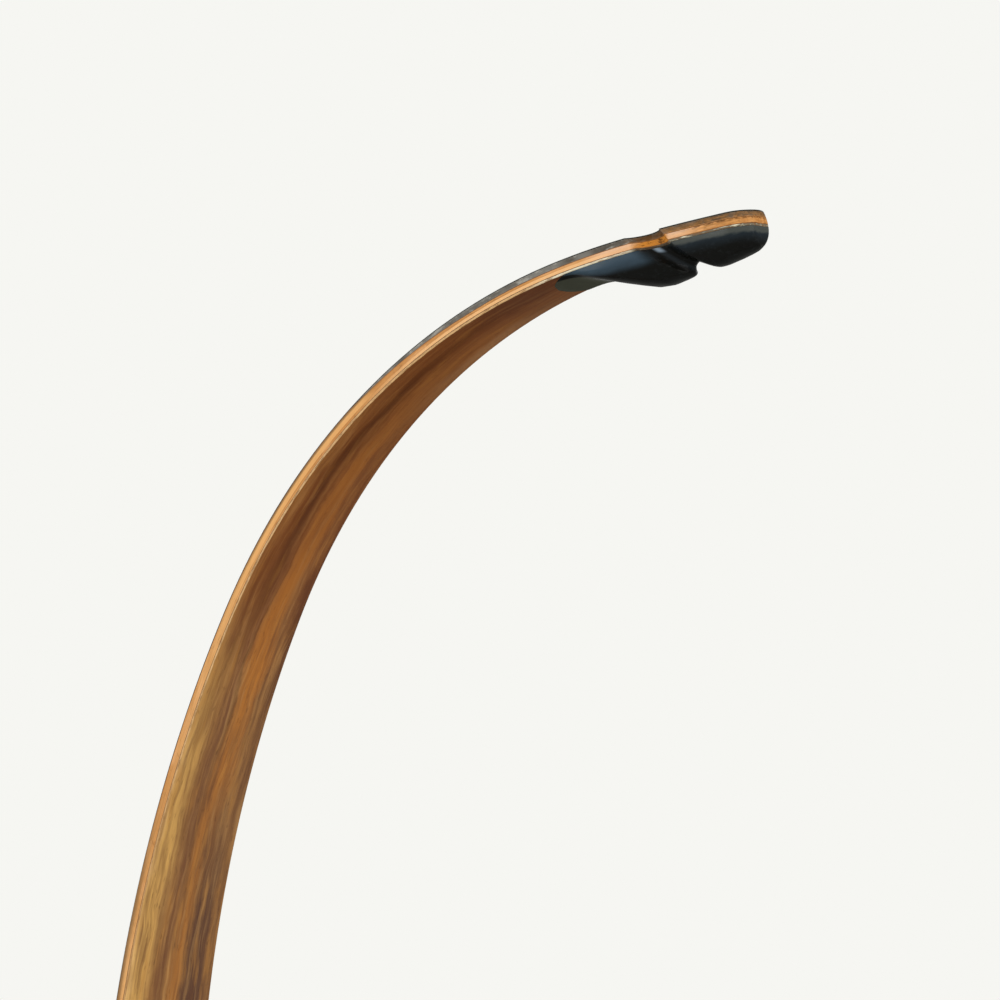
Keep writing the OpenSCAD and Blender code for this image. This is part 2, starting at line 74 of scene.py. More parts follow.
Colour = Place = tuple[float, float, float]
Span = tuple[float, float]
Band = tuple[float, float, float, float]
Material, Piece, Socket = bpy.types.Material, bpy.types.Object, bpy.types.NodeSocket
NOWHERE: Place = (0.0, 0.0, 0.0)
THIN_COAT = 1.3
CRISP = 30.0


class Side(Enum):
    """The two ends of the bow, as the sign of their height."""

    UPPER = 1
    LOWER = -1

    @property
    def prefix(self) -> str:
        """Start of the names of this end's nodes and pieces."""
        return self.name.lower() + "_"


def rgb(red: float, green: float, blue: float) -> Colour:
    """Turns a screen's values from 0 to 255 into the linear ones that shaders use."""
    seen = [c / 255 for c in (red, green, blue)]
    return tuple(c / 12.92 if c <= 0.04045 else ((c + 0.055) / 1.055) ** 2.4 for c in seen)


def clamp(value: float, low: float = 0.0, high: float = 1.0) -> float:
    """Keeps a value between two limits."""
    return min(max(value, low), high)


def ease(value: float) -> float:
    """A smooth step from 0 to 1."""
    t = clamp(value)
    return t * t * (3 - 2 * t)


def evenly(start: float, end: float, step: float) -> list[float]:
    """Even stations after start up to end, no further apart than step."""
    count = max(1, math.ceil((end - start) / step))
    return [start + (end - start) * i / count for i in range(1, count + 1)]


def curve_at(marks: Sequence[Sequence[float]], at: float, column: int = 1) -> float:
    """Reads a column of a table of marks, along smooth curves between them.

    Args:
        marks: Rows, in rising order of their first column.
        at: Where the table is read, as a value of the first column.
        column: The column that is read.

    Returns:
        The column's value there.
    """
    last = len(marks) - 1
    i = max(k for k in range(last) if marks[k][0] <= at or k == 0)

    def slope(k: int) -> float:
        """Slope of the column at a mark."""
        a, b = marks[max(k - 1, 0)], marks[min(k + 1, last)]
        return (b[column] - a[column]) / (b[0] - a[0])

    low, high = marks[i], marks[i + 1]
    run = high[0] - low[0]
    t = clamp((at - low[0]) / run)
    t2, t3 = t * t, t * t * t
    return ((2 * t3 - 3 * t2 + 1) * low[column] + (t3 - 2 * t2 + t) * slope(i) * run
            + (3 * t2 - 2 * t3) * high[column] + (t3 - t2) * slope(i + 1) * run)


# Shapes that the part's source gives


@dataclass(frozen=True)
class LimbShape:
    """Path, stack of laminations and widths of a limb, with its back face as the reference."""

    length: float = 550.0
    butt_width: float = 46.0
    tip_width: float = 18.0
    tip_draw: float = 2.7
    butt_length: float = 80.0
    pad_angle: float = math.radians(5.0)
    body_radius: float = 460.0
    curl_radius: float = 237.0
    curl_length: float = 190.0
    tip_radius: float = 490.0
    tip_length: float = 65.0
    riser_length: float = 560.0
    pad_x: float = 18.0
    back_glass: float = 0.7
    back_veneer: float = 0.2
    back_core: float = 0.9
    belly_core_butt: float = 2.4
    belly_core_tip: float = 2.2
    belly_veneer: float = 0.2
    belly_glass: float = 0.4
    butt_wedge: float = 6.0
    butt_wedge_end: float = 140.0
    tip_wedge: float = 1.5
    tip_wedge_start: float = 385.0
    tip_wedge_ramp: float = 60.0
    feather: float = 0.12
    feather_length: float = 0.6
    feather_run: float = 12.0
    hump: float = 10.3
    nose: float = 8.7
    overlay_length: float = 72.0
    nock_distance: float = 32.0
    nock_slant: float = 0.85
    overlay_slant: float = 1.22
    nock_depth: float = 3.2
    groove_half: float = 5.5
    groove_narrow: float = 4.4
    groove_edge: float = 0.75
    slant_from: Span = (-26.0, -6.0)
    slant_to: Span = (5.0, 29.0)
    tip_round: float = 7.0
    end_bulge: float = 1.1
    end_bulge_at: float = -1.4
    end_bulge_reach: float = 5.0
    draw_from: float = 60.0
    draw_length: float = 50.0
    bolt_at: float = 44.0
    bolt_hole: float = 4.3
    insert_radius: float = 6.02
    insert_length: float = 20.0
    pins_at: Span = (15.0, 68.0)
    pin_hole: float = 3.05
    pin_depth: float = 7.8
    pin_seat: float = 3.02
    pin_seat_depth: float = 11.0
    limb_step: float = 5.0
    overlay_step: float = 2.5
    nock_step: float = 0.4
    nock_before: float = 12.0
    nock_after: float = 18.0
    end_step: float = 2.0
    round_turn: float = math.radians(88.0)
    round_steps: int = 12

    def stretches(self) -> list[Span]:
        """Length and radius of the bends that follow the straight butt."""
        body = self.length - self.butt_length - self.curl_length - self.tip_length
        return [(body, self.body_radius), (self.curl_length, self.curl_radius),
                (self.tip_length, self.tip_radius)]

    def path(self, u: float) -> Place:
        """Follows the back face from the butt end.

        Args:
            u: Distance along the back face.

        Returns:
            Offset forwards, offset upwards and the tangent's lean from the vertical.
        """
        lean = self.pad_angle
        run = min(u, self.butt_length)
        x, z = run * math.sin(lean), run * math.cos(lean)
        left = u - run
        for length, radius in self.stretches():
            run = min(left, length)
            if run <= 0:
                break
            after = lean + run / radius
            x += radius * (math.cos(lean) - math.cos(after))
            z += radius * (math.sin(after) - math.sin(lean))
            lean, left = after, left - run
        return x, z, lean

    def fade(self, distance: float, length: float, thickness: float) -> float:
        """Thickness of a wedge at a distance from its feathered end."""
        return (thickness * clamp(distance / length)
                + self.feather * ease(distance / self.feather_run))

    def butt_wedge_at(self, u: float) -> float:
        """Thickness of the wedge under the bolt."""
        if u <= self.butt_length:
            return self.butt_wedge
        return self.fade(self.butt_wedge_end + self.feather_length - u,
                         self.butt_wedge_end - self.butt_length, self.butt_wedge - self.feather)

    def tip_wedge_at(self, u: float) -> float:
        """Thickness of the grey wedge towards the tip."""
        return self.fade(u - self.tip_wedge_start + self.feather_length, self.tip_wedge_ramp,
                         self.tip_wedge - self.feather)

    def belly_core_at(self, u: float) -> float:
        """Thickness of the belly core, which gives way to the grey wedge."""
        share = max(u - self.butt_length, 0.0) / (self.length - self.butt_length)
        return (self.belly_core_butt + (self.belly_core_tip - self.belly_core_butt) * share
                - self.tip_wedge_at(u))

    def depth(self, u: float, line: int) -> float:
        """Depth below the back face of a glue line, from 0, the back, to 8, the belly."""
        layers = (self.back_glass, self.back_veneer, self.back_core, self.butt_wedge_at(u),
                  self.belly_core_at(u), self.belly_veneer, self.tip_wedge_at(u),
                  self.belly_glass)
        return sum(layers[:line])

    def groove(self, u: float, h: float) -> float:
        """Share of the string groove's full depth at a station and a depth."""
        reach = self.groove_narrow + ((self.groove_half - self.groove_narrow)
                                      * max(h + self.hump, 0.0) / self.hump)
        offset = (self.length - u - self.nock_distance - self.slant(h)) / reach
        return (1 - offset * offset) ** self.groove_edge if abs(offset) < 1 else 0.0

    def slant(self, h: float) -> float:
        """How far the string groove has run from its place on the back face, at a depth."""
        return h * (self.nock_slant if h > 0 else self.overlay_slant)

    def slanted(self, u: float, h: float) -> float:
        """Moves a station along with the slant of the string groove, near the nock.

        Args:
            u: The station.
            h: Depth below the back face.

        Returns:
            The station where that depth lies.
        """
        past = u - self.length + self.nock_distance
        share = (ease((past - self.slant_from[0]) / (self.slant_from[1] - self.slant_from[0]))
                 * ease((self.slant_to[1] - past) / (self.slant_to[1] - self.slant_to[0])))
        end = ease((u - self.length + self.tip_round) / self.tip_round)
        belly = (h - self.end_bulge_at) / self.end_bulge_reach
        return u - self.slant(h) * share + self.end_bulge * end * (1 - belly * belly)

    def half_width(self, u: float, h: float) -> float:
        """Half width of the limb, drawn in, rounded at the tip and cut by the groove.

        Args:
            u: Distance along the back face.
            h: Depth below it.

        Returns:
            The half width.
        """
        straight = (self.butt_width + (self.tip_width - self.butt_width) * u / self.length) / 2
        drawn = straight - self.tip_draw * ease((self.draw_from - self.length + u)
                                                / self.draw_length)
        s = self.length - u
        if s < self.tip_round:
            drawn *= math.sqrt(max(1 - ((self.tip_round - s) / self.tip_round) ** 2, 0.0))
        return max(drawn - self.nock_depth * self.groove(u, h), 0.05)

    def rounded_half(self, u: float, here: float, h: float) -> float:
        """Half width at a slanted place, with the tip's rounding read at its own station."""
        return self.half_width(u if u > self.length - self.tip_round else here, h)

    def butt_end(self) -> Span:
        """Where the back face's butt end sits in the bow, forwards and upwards."""
        thick = self.depth(0.0, 8)
        pad_z = self.riser_length / 2 - self.butt_length * math.cos(self.pad_angle)
        return (self.pad_x + thick * math.cos(self.pad_angle),
                pad_z - thick * math.sin(self.pad_angle))

    def place(self, side: Side) -> Callable[[float, float, float], Vector]:
        """Gives the function that turns a limb's own coordinates into the frame's.

        Args:
            side: Which end of the bow the limb is on.

        Returns:
            A function of station, distance across and depth that gives a point in metres.
        """
        x0, z0 = self.butt_end()
        known: dict[float, Place] = {}

        def point(u: float, y: float, h: float) -> Vector:
            """A point of the limb, in metres."""
            if u not in known:
                known[u] = self.path(u)
            x, z, lean = known[u]
            return Vector((x0 + x - h * math.cos(lean), y,
                           (z0 + z + h * math.sin(lean)) * side.value)) * MM

        return point

    def at_butt(self, side: Side, u: float) -> Matrix:
        """Puts the local Z axis along the pad's normal, on the back face at a station.

        Args:
            side: Which end of the bow the limb is on.
            u: The station.

        Returns:
            The matrix that places a piece there.
        """
        point = self.place(side)
        origin = point(u, 0.0, 0.0)
        out = (point(u, 0.0, -1.0) - origin).normalized()
        across = Vector((0.0, 1.0, 0.0))
        turn = Matrix((across.cross(out), across, out)).transposed().to_4x4()
        return Matrix.Translation(origin) @ turn

    def drill(self, side: Side, u: float, radius: float, low: float,
              high: float) -> Piece:
        """Makes a round cutting tool square to the pad.

        Args:
            side: Which end of the bow the limb is on.
            u: The station of its axis.
            radius: Its radius.
            low: Height of its lower end over the back face.
            high: Height of its upper end.

        Returns:
            The tool.
        """
        tool = turned("drill", [(0.0, low), (radius, low), (radius, high), (0.0, high)], 48)
        return settle(tool, self.at_butt(side, u))

    def stations(self, start: float, end: float) -> list[float]:
        """Stations for a smooth skin, finest at the nock.

        Args:
            start: First place along the limb.
            end: Last place.

        Returns:
            The stations between them, in order.
        """
        overlay = self.length - self.overlay_length
        nock_from = self.length - self.nock_distance - self.nock_before
        nock_to = self.length - self.nock_distance + self.nock_after
        round_from = self.length - self.tip_round
        marks = [0.0, self.butt_length, self.butt_wedge_end,
                 self.butt_wedge_end + self.feather_length,
                 self.tip_wedge_start - self.feather_length, self.tip_wedge_start]
        marks += evenly(self.butt_length, overlay, self.limb_step)
        marks += evenly(overlay, nock_from, self.overlay_step)
        marks += evenly(nock_from, nock_to, self.nock_step)
        marks += evenly(nock_to, round_from, self.end_step)
        marks += [round_from + self.tip_round * math.sin(turn)
                  for turn in evenly(0.0, self.round_turn, self.round_turn / self.round_steps)]
        near = 1e-6
        return sorted({round(u, 4) for u in marks if start - near <= u <= end + near})


@dataclass(frozen=True)
class RiserShape:
    """Cross-sections of the riser and the cuts of its sight window."""

    length: float = 560.0
    core_y: float = 10.0
    stripe_y: float = 13.0
    half_width: float = 23.0
    step_z: float = 198.963
    pad_x: float = 18.0
    pad_z: float = 200.304
    pad_angle: float = math.radians(5.0)
    shelf_z: float = 22.0
    wall_y: float = -4.0
    window_top: float = 127.0
    window_run: float = 36.0
    window_side: float = 46.0
    end_round: float = 2.5
    fittings_x: float = 14.0
    plunger_z: float = 46.0
    plunger_y: Span = (-4.0, -21.5)
    sights_z: Span = (82.0, 115.34)
    sights_y: Span = (-14.0, -21.5)
    stabilizer_z: float = -138.0
    stabilizer_x: Span = (17.0, 39.0)
    bushing_hole: float = 6.0
    bushing_radii: Span = (5.97, 3.97)
    sight_hole: float = 4.43
    sight_radii: Span = (4.41, 2.41)
    marks: tuple[tuple[float, ...], ...] = (
        (-280, 4, 38, 4.6, 0.8), (-240, -3, 35, 4.6, 0.9), (-200, -9, 31, 4.2, 1),
        (-165, -9, 34, 3.6, 0.94), (-130, -8, 39, 3.2, 0.8), (-106, -16, 41, 3, 0.64),
        (-82, -22, 42, 2.8, 0.48), (-50, -14, 43.5, 2.6, 0.28), (-22, -4, 45, 2.5, 0.15),
        (0, 0, 46, 2.5, 0.12), (12, -3, 47, 2.7, 0.3), (26, -11, 50, 3, 0.8),
        (60, -9, 48, 3.2, 0.9), (100, -7, 44, 3.4, 0.9), (150, -8, 38, 3.6, 0.94),
        (200, -9, 31, 4.2, 1), (240, -3, 35, 4.6, 0.9), (280, 4, 38, 4.6, 0.8))

    def value(self, z: float, column: int) -> float:
        """Reads a column of the marks at a height."""
        return curve_at(self.marks, z, column)

    def width(self, z: float) -> float:
        """Half width of the section at a height."""
        return self.stripe_y + self.value(z, 4) * (self.half_width - self.stripe_y)

    def clipped(self, x: float, z: float) -> float:
        """Keeps a point behind the limb's pad."""
        if abs(z) <= self.step_z:
            return x
        return min(x, self.pad_x + (abs(z) - self.pad_z) * math.tan(self.pad_angle))

    def softened(self, z: float) -> float:
        """How far the rounding of the riser's ends stands in at a height."""
        t = clamp(1 - (self.length / 2 - abs(z)) / self.end_round)
        return self.end_round * (1 - math.sqrt(1 - t * t))

    def x_at(self, z: float, y: float, facing: int) -> float:
        """Front or belly point of the section in a plane across.

        Args:
            z: Height.
            y: The plane's distance across.
            facing: 1 for the front and -1 for the belly.

        Returns:
            The point's place forwards.
        """
        x0, x1, e = (self.value(z, k) for k in (1, 2, 3))
        share = max(1 - min(abs(y) / self.width(z), 1.0) ** e, 0.0) ** (1 / e)
        x = self.clipped((x0 + x1) / 2 + facing * (x1 - x0) / 2 * share, z)
        return x - facing * self.softened(z)

    def ramp_z(self, y: float) -> float:
        """Height of the window's curved upper end at a distance across."""
        reach = self.window_side - self.wall_y
        return self.window_top + self.window_run * math.sin(
            math.acos(clamp(1 - (y - self.wall_y) / reach, -1.0, 1.0)))

    def ramp_y(self, z: float) -> float:
        """Distance across of the window's curved upper end at a height."""
        reach = self.window_side - self.wall_y
        turn = math.asin(clamp((z - self.window_top) / self.window_run, 0.0, 1.0))
        return reach * (1 - math.cos(turn)) + self.wall_y

    def left_limit(self, z: float) -> float:
        """How far the centre block reaches to the archer's left."""
        if z < self.shelf_z or z >= self.ramp_z(self.core_y):
            return self.core_y
        return self.wall_y if z <= self.window_top else self.ramp_y(z)


LIMB = LimbShape()
RISER = RiserShape()


# Mesh helpers


class Skin:
    """Collects rings of points and makes one smooth closed mesh of them."""

    def __init__(self, name: str) -> None:
        """Starts an empty skin for a piece of that name."""
        self.name = name
        self.points: list[Vector] = []
        self.places: list[Place] = []
        self.shares: list[float] = []
        self.rings: list[list[int]] = []

    def ring(self, points: Sequence[Vector], places: Sequence[Place],
             shares: Sequence[float] | None = None) -> None:
        """Adds the next ring.

        Args:
            points: The ring's points, in order round it, in metres.
            places: Along, across and depth of each point for the grain, in metres.
            shares: Position of each point across the piece, from -1 to 1.
        """
        start = len(self.points)
        self.points += points
        self.places += places
        self.shares += shares or [0.0] * len(points)
        self.rings.append(list(range(start, start + len(points))))

    def build(self, sharp: float) -> Piece:
        """Joins the rings, closes both ends and stores where each point lies in the wood.

        Args:
            sharp: Angle in degrees above which an edge stays crisp.

        Returns:
            The finished piece.
        """
        mesh = bpy.data.meshes.new(self.name)
        faces = []
        for low, high in zip(self.rings, self.rings[1:]):
            faces += zip(low, low[1:] + low[:1], high[1:] + high[:1], high)
        faces += [tuple(reversed(self.rings[0])), tuple(self.rings[-1])]
        mesh.from_pydata([tuple(p) for p in self.points], [], faces)
        place = mesh.attributes.new("place", "FLOAT_VECTOR", "POINT")
        place.data.foreach_set("vector", [c for p in self.places for c in p])
        share = mesh.attributes.new("share", "FLOAT", "POINT")
        share.data.foreach_set("value", self.shares)
        return finish_mesh(mesh, self.name, sharp)


def add_object(name: str, data: bpy.types.ID) -> Piece:
    """Puts a new object in the scene."""
    piece = bpy.data.objects.new(name, data)
    bpy.context.scene.collection.objects.link(piece)
    return piece


def discard(piece: Piece) -> None:
    """Removes a piece with its mesh."""
    mesh = piece.data
    bpy.data.objects.remove(piece)
    bpy.data.meshes.remove(mesh)


def write_out(work: bmesh.types.BMesh, name: str) -> bpy.types.Mesh:
    """Turns a worked mesh into a stored one."""
    mesh = bpy.data.meshes.new(name)
    work.to_mesh(mesh)
    work.free()
    return mesh


def finish_mesh(mesh: bpy.types.Mesh, name: str, sharp: float = CRISP) -> Piece:
    """Turns a mesh's faces outwards, shades it smooth and puts it in the scene.

    Args:
        mesh: The mesh.
        name: Name of the object.
        sharp: Angle in degrees above which an edge stays crisp.

    Returns:
        The object.
    """
    work = bmesh.new()
    work.from_mesh(mesh)
    bmesh.ops.recalc_face_normals(work, faces=work.faces)
    work.to_mesh(mesh)
    work.free()
    mesh.polygons.foreach_set("use_smooth", [True] * len(mesh.polygons))
    mesh.set_sharp_from_angle(angle=math.radians(sharp))
    return add_object(name, mesh)


def turned(name: str, profile: Sequence[Span], segments: int) -> Piece:
    """Turns a closed profile about the local Z axis.

    Args:
        name: Name of the piece.
        profile: Closed loop of radius and height, in millimetres.
        segments: Number of steps round.

    Returns:
        The turned piece, about the origin.
    """
    mesh = bpy.data.meshes.new(name)
    points, faces, count = [], [], len(profile)
    for i in range(segments):
        a = 2 * math.pi * i / segments
        points += [(r * math.cos(a) * MM, r * math.sin(a) * MM, z * MM) for r, z in profile]
    for i in range(segments):
        j = (i + 1) % segments
        faces += [(i * count + k, j * count + k, j * count + (k + 1) % count,
                   i * count + (k + 1) % count) for k in range(count)]
    mesh.from_pydata(points, [], faces)
    work = bmesh.new()
    work.from_mesh(mesh)
    same_point = 1e-7
    bmesh.ops.remove_doubles(work, verts=work.verts, dist=same_point)
    bmesh.ops.dissolve_degenerate(work, edges=work.edges, dist=same_point)
    work.to_mesh(mesh)
    work.free()
    return finish_mesh(mesh, name)


def settle(piece: Piece, matrix: Matrix) -> Piece:
    """Moves a piece's own points, so that the object stays at the origin."""
    piece.data.transform(matrix)
    if matrix.determinant() < 0:
        piece.data.flip_normals()
    return piece


def carve(piece: Piece, tools: Iterable[Piece],
          locate: Callable[[Vector], tuple[Vector, float] | None]) -> None:
    """Cuts tools out of a piece and removes them.

    Args:
        piece: The piece that is cut.
        tools: Closed solids that take material away.
        locate: Gives a point's place in the wood and share across, or None to keep them.
    """
    tools = list(tools)
    for tool in tools:
        cut = piece.modifiers.new("cut", "BOOLEAN")
        cut.operation, cut.solver, cut.object = "DIFFERENCE", "EXACT", tool
    graph = bpy.context.evaluated_depsgraph_get()
    made = bpy.data.meshes.new_from_object(piece.evaluated_get(graph))
    piece.modifiers.clear()
    old, piece.data = piece.data, made
    made.name = old.name
    bpy.data.meshes.remove(old)
    for tool in tools:
        discard(tool)
    made.set_sharp_from_angle(angle=math.radians(CRISP))
    for vertex in made.vertices:
        found = locate(vertex.co)
        if found:
            made.attributes["place"].data[vertex.index].vector = found[0]
            made.attributes["share"].data[vertex.index].value = found[1]


def join_pieces(name: str, pieces: Sequence[Piece]) -> Piece:
    """Joins several loose pieces into one.

    Args:
        name: Name of the joined piece.
        pieces: The pieces, which are removed.

    Returns:
        The joined piece.
    """
    work = bmesh.new()
    for piece in pieces:
        work.from_mesh(piece.data)
        discard(piece)
    return finish_mesh(write_out(work, name), name)


def cushion(name: str, box: tuple[Vector, Vector], radius: float,
            thin_axis: int) -> Piece:
    """Builds a thin pad with rounded edges and a slight crown.

    Args:
        name: Name of the piece.
        box: Lowest and highest corner of the space that it fills, in metres.
        radius: Radius of its edges, in millimetres.
        thin_axis: The axis of its thickness.

    Returns:
        The piece.
    """
    low, high = box
    size = high - low
    work = bmesh.new()
    bmesh.ops.create_cube(work, size=1.0)
    for vertex in work.verts:
        vertex.co = Vector([low[k] + (vertex.co[k] + 0.5) * size[k] for k in range(3)])
    bmesh.ops.bevel(work, geom=work.edges[:], offset=radius * MM * 0.8, segments=3,
                    profile=0.6, affect="EDGES", clamp_overlap=True)
    bmesh.ops.subdivide_edges(work, edges=[e for e in work.edges if e.calc_length() > 0.006],
                              cuts=9, use_grid_fill=True)
    centre = (low + high) / 2
    for vertex in work.verts:
        off = vertex.co - centre
        worn = 1.0
        for k in range(3):
            if k != thin_axis:
                worn *= 1 - (off[k] / (size[k] / 2)) ** 4
        if off[thin_axis] > 0:
            vertex.co[thin_axis] -= 0.18 * size[thin_axis] * (1 - clamp(worn))
    return finish_mesh(write_out(work, name), name, 50.0)


def dress(piece: Piece, material: Material, body: str, node: str) -> None:
    """Gives a piece its material, body, slot and the node that it stands for.

    Args:
        piece: The piece.
        material: Its material.
        body: The CAD body that it rides on.
        node: The CAD node that it replaces.
    """
    piece.data.materials.clear()
    piece.data.materials.append(material)
    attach(piece, body)
    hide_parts(node)
    log.info("%s on %s: %d faces", piece.name, body, len(piece.data.polygons))


def dress_node(node: str, material: Material) -> None:
    """Gives a node that stays in sight its material.

    Args:
        node: Name of the CAD node.
        material: The material.
    """
    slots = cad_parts[node].data.materials
    if not len(slots):
        slots.append(material)
    for i in range(len(slots)):
        slots[i] = material
    log.info("%s stays, with %s", node, material.name)


# Shader helpers


class Graph:
    """Short forms for building one node tree."""

    def __init__(self, tree: bpy.types.NodeTree) -> None:
        """Works on a material's or a group's node tree."""
        self.tree = tree

    def node(self, kind: str, **settings: object) -> bpy.types.Node:
        """Adds a node.

        Args:
            kind: The node's type.
            settings: Its plain properties by name.

        Returns:
            The node.
        """
        made = self.tree.nodes.new(kind)
        for name, value in settings.items():
            setattr(made, name, value)
        return made

    def feed(self, target: Socket, source: object) -> None:
        """Links an input, or sets its value.

        Args:
            target: The input.
            source: An output that feeds it, or a plain number, vector or colour.
        """
        if isinstance(source, Socket):
            self.tree.links.new(source, target)
        elif isinstance(source, tuple) and len(source) == 3 and target.type == "RGBA":
            target.default_value = (*source, 1.0)
        else:
            target.default_value = source

    def wire(self, made: bpy.types.Node, **sources: object) -> bpy.types.Node:
        """Feeds a node's inputs by name.

        Args:
            made: The node.
            sources: The source of each input, with _ for each space in its name.

        Returns:
            The node.
        """
        for name, source in sources.items():
            self.feed(made.inputs[name.replace("_", " ")], source)
        return made

    def step(self, kind: str, sources: Sequence[object], **settings: object) -> Socket:
        """Adds a node that works one thing out.

        Args:
            kind: The node's type.
            sources: The sources of its first inputs, in order.
            settings: Its plain properties by name.

        Returns:
            Its first output.
        """
        made = self.node(kind, **settings)
        for target, source in zip(made.inputs, sources):
            self.feed(target, source)
        return made.outputs[0]

    def math(self, operation: str, a: object, b: object = 0.0,
             clamped: bool = False) -> Socket:
        """One arithmetic step."""
        return self.step("ShaderNodeMath", (a, b), operation=operation, use_clamp=clamped)

    def times(self, a: object, b: object) -> Socket:
        """Product of two values."""
        return self.math("MULTIPLY", a, b)

    def plus(self, a: object, b: object) -> Socket:
        """Sum of two values."""
        return self.math("ADD", a, b)

    def sway(self, value: object, reach: float) -> Socket:
        """Turns a noise value into an offset to both sides."""
        return self.times(self.math("SUBTRACT", value, 0.5), reach)

    def span(self, value: object, low: object, high: object, start: object = 0.0,
             end: object = 1.0) -> Socket:
        """A smooth step from start to end while the value goes from low to high."""
        return self.step("ShaderNodeMapRange", (value, low, high, start, end),
                         interpolation_type="SMOOTHSTEP")

    def band(self, value: object, edges: Sequence[object], top: float = 1.0) -> Socket:
        """A smooth rise to top and fall again, each between two of the four edges."""
        return self.times(self.span(value, *edges[:2], 0.0, top),
                          self.span(value, *edges[2:], 1.0, 0.0))

    def stretch(self, vector: object, factors: Place, shift: Place = NOWHERE) -> Socket:
        """A place scaled and moved."""
        made = self.node("ShaderNodeMapping")
        return self.wire(made, Vector=vector, Scale=factors, Location=shift).outputs[0]

    def noise(self, vector: object, scale: object, detail: float = 3.0,
              roughness: float = 0.5, distortion: float = 0.0) -> Socket:
        """A noise value at a place."""
        made = self.node("ShaderNodeTexNoise")
        return self.wire(made, Vector=vector, Scale=scale, Detail=detail, Roughness=roughness,
                         Distortion=distortion).outputs[0]

    def mix(self, share: object, under: object, over: object) -> Socket:
        """Lays a share of a colour over another."""
        made = self.node("ShaderNodeMix", data_type="RGBA", clamp_factor=True)
        for index, source in zip((0, 6, 7), (share, under, over)):
            self.feed(made.inputs[index], source)
        return made.outputs[2]

    def split(self, vector: object) -> list[Socket]:
        """The three parts of a vector."""
        made = self.node("ShaderNodeSeparateXYZ")
        return list(self.wire(made, Vector=vector).outputs)

    def join(self, x: object, y: object, z: object) -> Socket:
        """A vector of three values."""
        return self.step("ShaderNodeCombineXYZ", (x, y, z))

    def use(self, group: bpy.types.NodeTree, **sources: object) -> dict[str, Socket]:
        """Places a group, feeds its inputs by name and gives its outputs by name."""
        made = self.wire(self.node("ShaderNodeGroup", node_tree=group), **sources)
        return {output.name: output for output in made.outputs}

    def bump(self, height: object, strength: float, distance: float) -> Socket:
        """A normal that follows a height."""
        made = self.node("ShaderNodeBump")
        return self.wire(made, Strength=strength, Distance=distance, Height=height).outputs[0]


def new_group(name: str, inputs: dict[str, object],
              outputs: Sequence[str]) -> tuple[bpy.types.NodeTree, Graph, dict, dict]:
    """Starts a node group with named sockets.

    Args:
        name: Name of the group.
        inputs: Name and default of each input; a tuple makes a vector socket.
        outputs: Names of the value outputs.

    Returns:
        The tree, its graph, the inputs' sockets by name and the outputs' sockets by name.
    """
    tree = bpy.data.node_groups.new(name, "ShaderNodeTree")
    for label, default in inputs.items():
        kind = "NodeSocketVector" if isinstance(default, tuple) else "NodeSocketFloat"
        socket = tree.interface.new_socket(name=label, in_out="INPUT", socket_type=kind)
        socket.default_value = default
    for label in outputs:
        tree.interface.new_socket(name=label, in_out="OUTPUT", socket_type="NodeSocketFloat")
    graph = Graph(tree)
    entry = graph.node("NodeGroupInput")
    leave = graph.node("NodeGroupOutput")
    return (tree, graph, {s.name: s for s in entry.outputs if s.name},
            {s.name: s for s in leave.inputs if s.name})


def grain_group() -> bpy.types.NodeTree:
    """Wood grain: broad figure, fine fibres and short dark pores along the first axis.

    Returns:
        The group.
    """
    tree, g, given, out = new_group(
        "Wood grain", {"Place": NOWHERE, "Seed": 0.0, "Figure pitch": 0.004,
                       "Fibre pitch": 0.0006, "Run": 0.12}, ("Figure", "Fibre", "Pore"))
    along, across, deep = g.split(given["Place"])
    run, seed = g.math("DIVIDE", along, given["Run"]), given["Seed"]
    drift = g.noise(g.join(g.times(run, 0.6), seed, 0.0), 1.0, 2.0)
    side = g.plus(across, g.sway(drift, 0.006))

    def counted(pitch: str) -> list[Socket]:
        """Across and depth, counted in one of the given pitches."""
        return [g.math("DIVIDE", value, given[pitch]) for value in (side, deep)]

    figure = g.noise(g.join(g.plus(run, seed), *counted("Figure pitch")), 1.0, 3.0, 0.55, 0.4)
    fine = counted("Fibre pitch")
    fibre = g.noise(g.join(g.times(run, 6.0), *fine), 0.35, 3.0, 0.6)
    pores = g.noise(g.join(g.times(run, 34.0), *fine), 0.55, 1.0)
    g.feed(out["Figure"], g.span(figure, 0.32, 0.68))
    g.feed(out["Fibre"], g.span(fibre, 0.3, 0.7))
    g.feed(out["Pore"], g.span(pores, 0.62, 0.74))
    return tree


def streak_group() -> bpy.types.NodeTree:
    """One long streak of colour, soft at its sides and at both ends.

    Returns:
        The group.
    """
    tree, g, given, out = new_group(
        "Figure streak", {"Along": 0.0, "Across": 0.0, "Centre": 0.5, "Half width": 0.1,
                          "From": 0.1, "To": 0.3, "Softness": 0.06, "Fade": 0.05}, ("Mask",))

    def around(middle: str, margin: str) -> list[Socket]:
        """The two values that lie a margin below and above another."""
        return [g.math(sign, given[middle], given[margin]) for sign in ("SUBTRACT", "ADD")]

    off = g.math("ABSOLUTE", g.math("SUBTRACT", given["Across"], given["Centre"]))
    body = g.span(off, *around("Half width", "Softness"), 1.0, 0.0)
    ends = g.band(given["Along"], around("From", "Fade") + around("To", "Fade"))
    g.feed(out["Mask"], g.times(body, ends))
    return tree


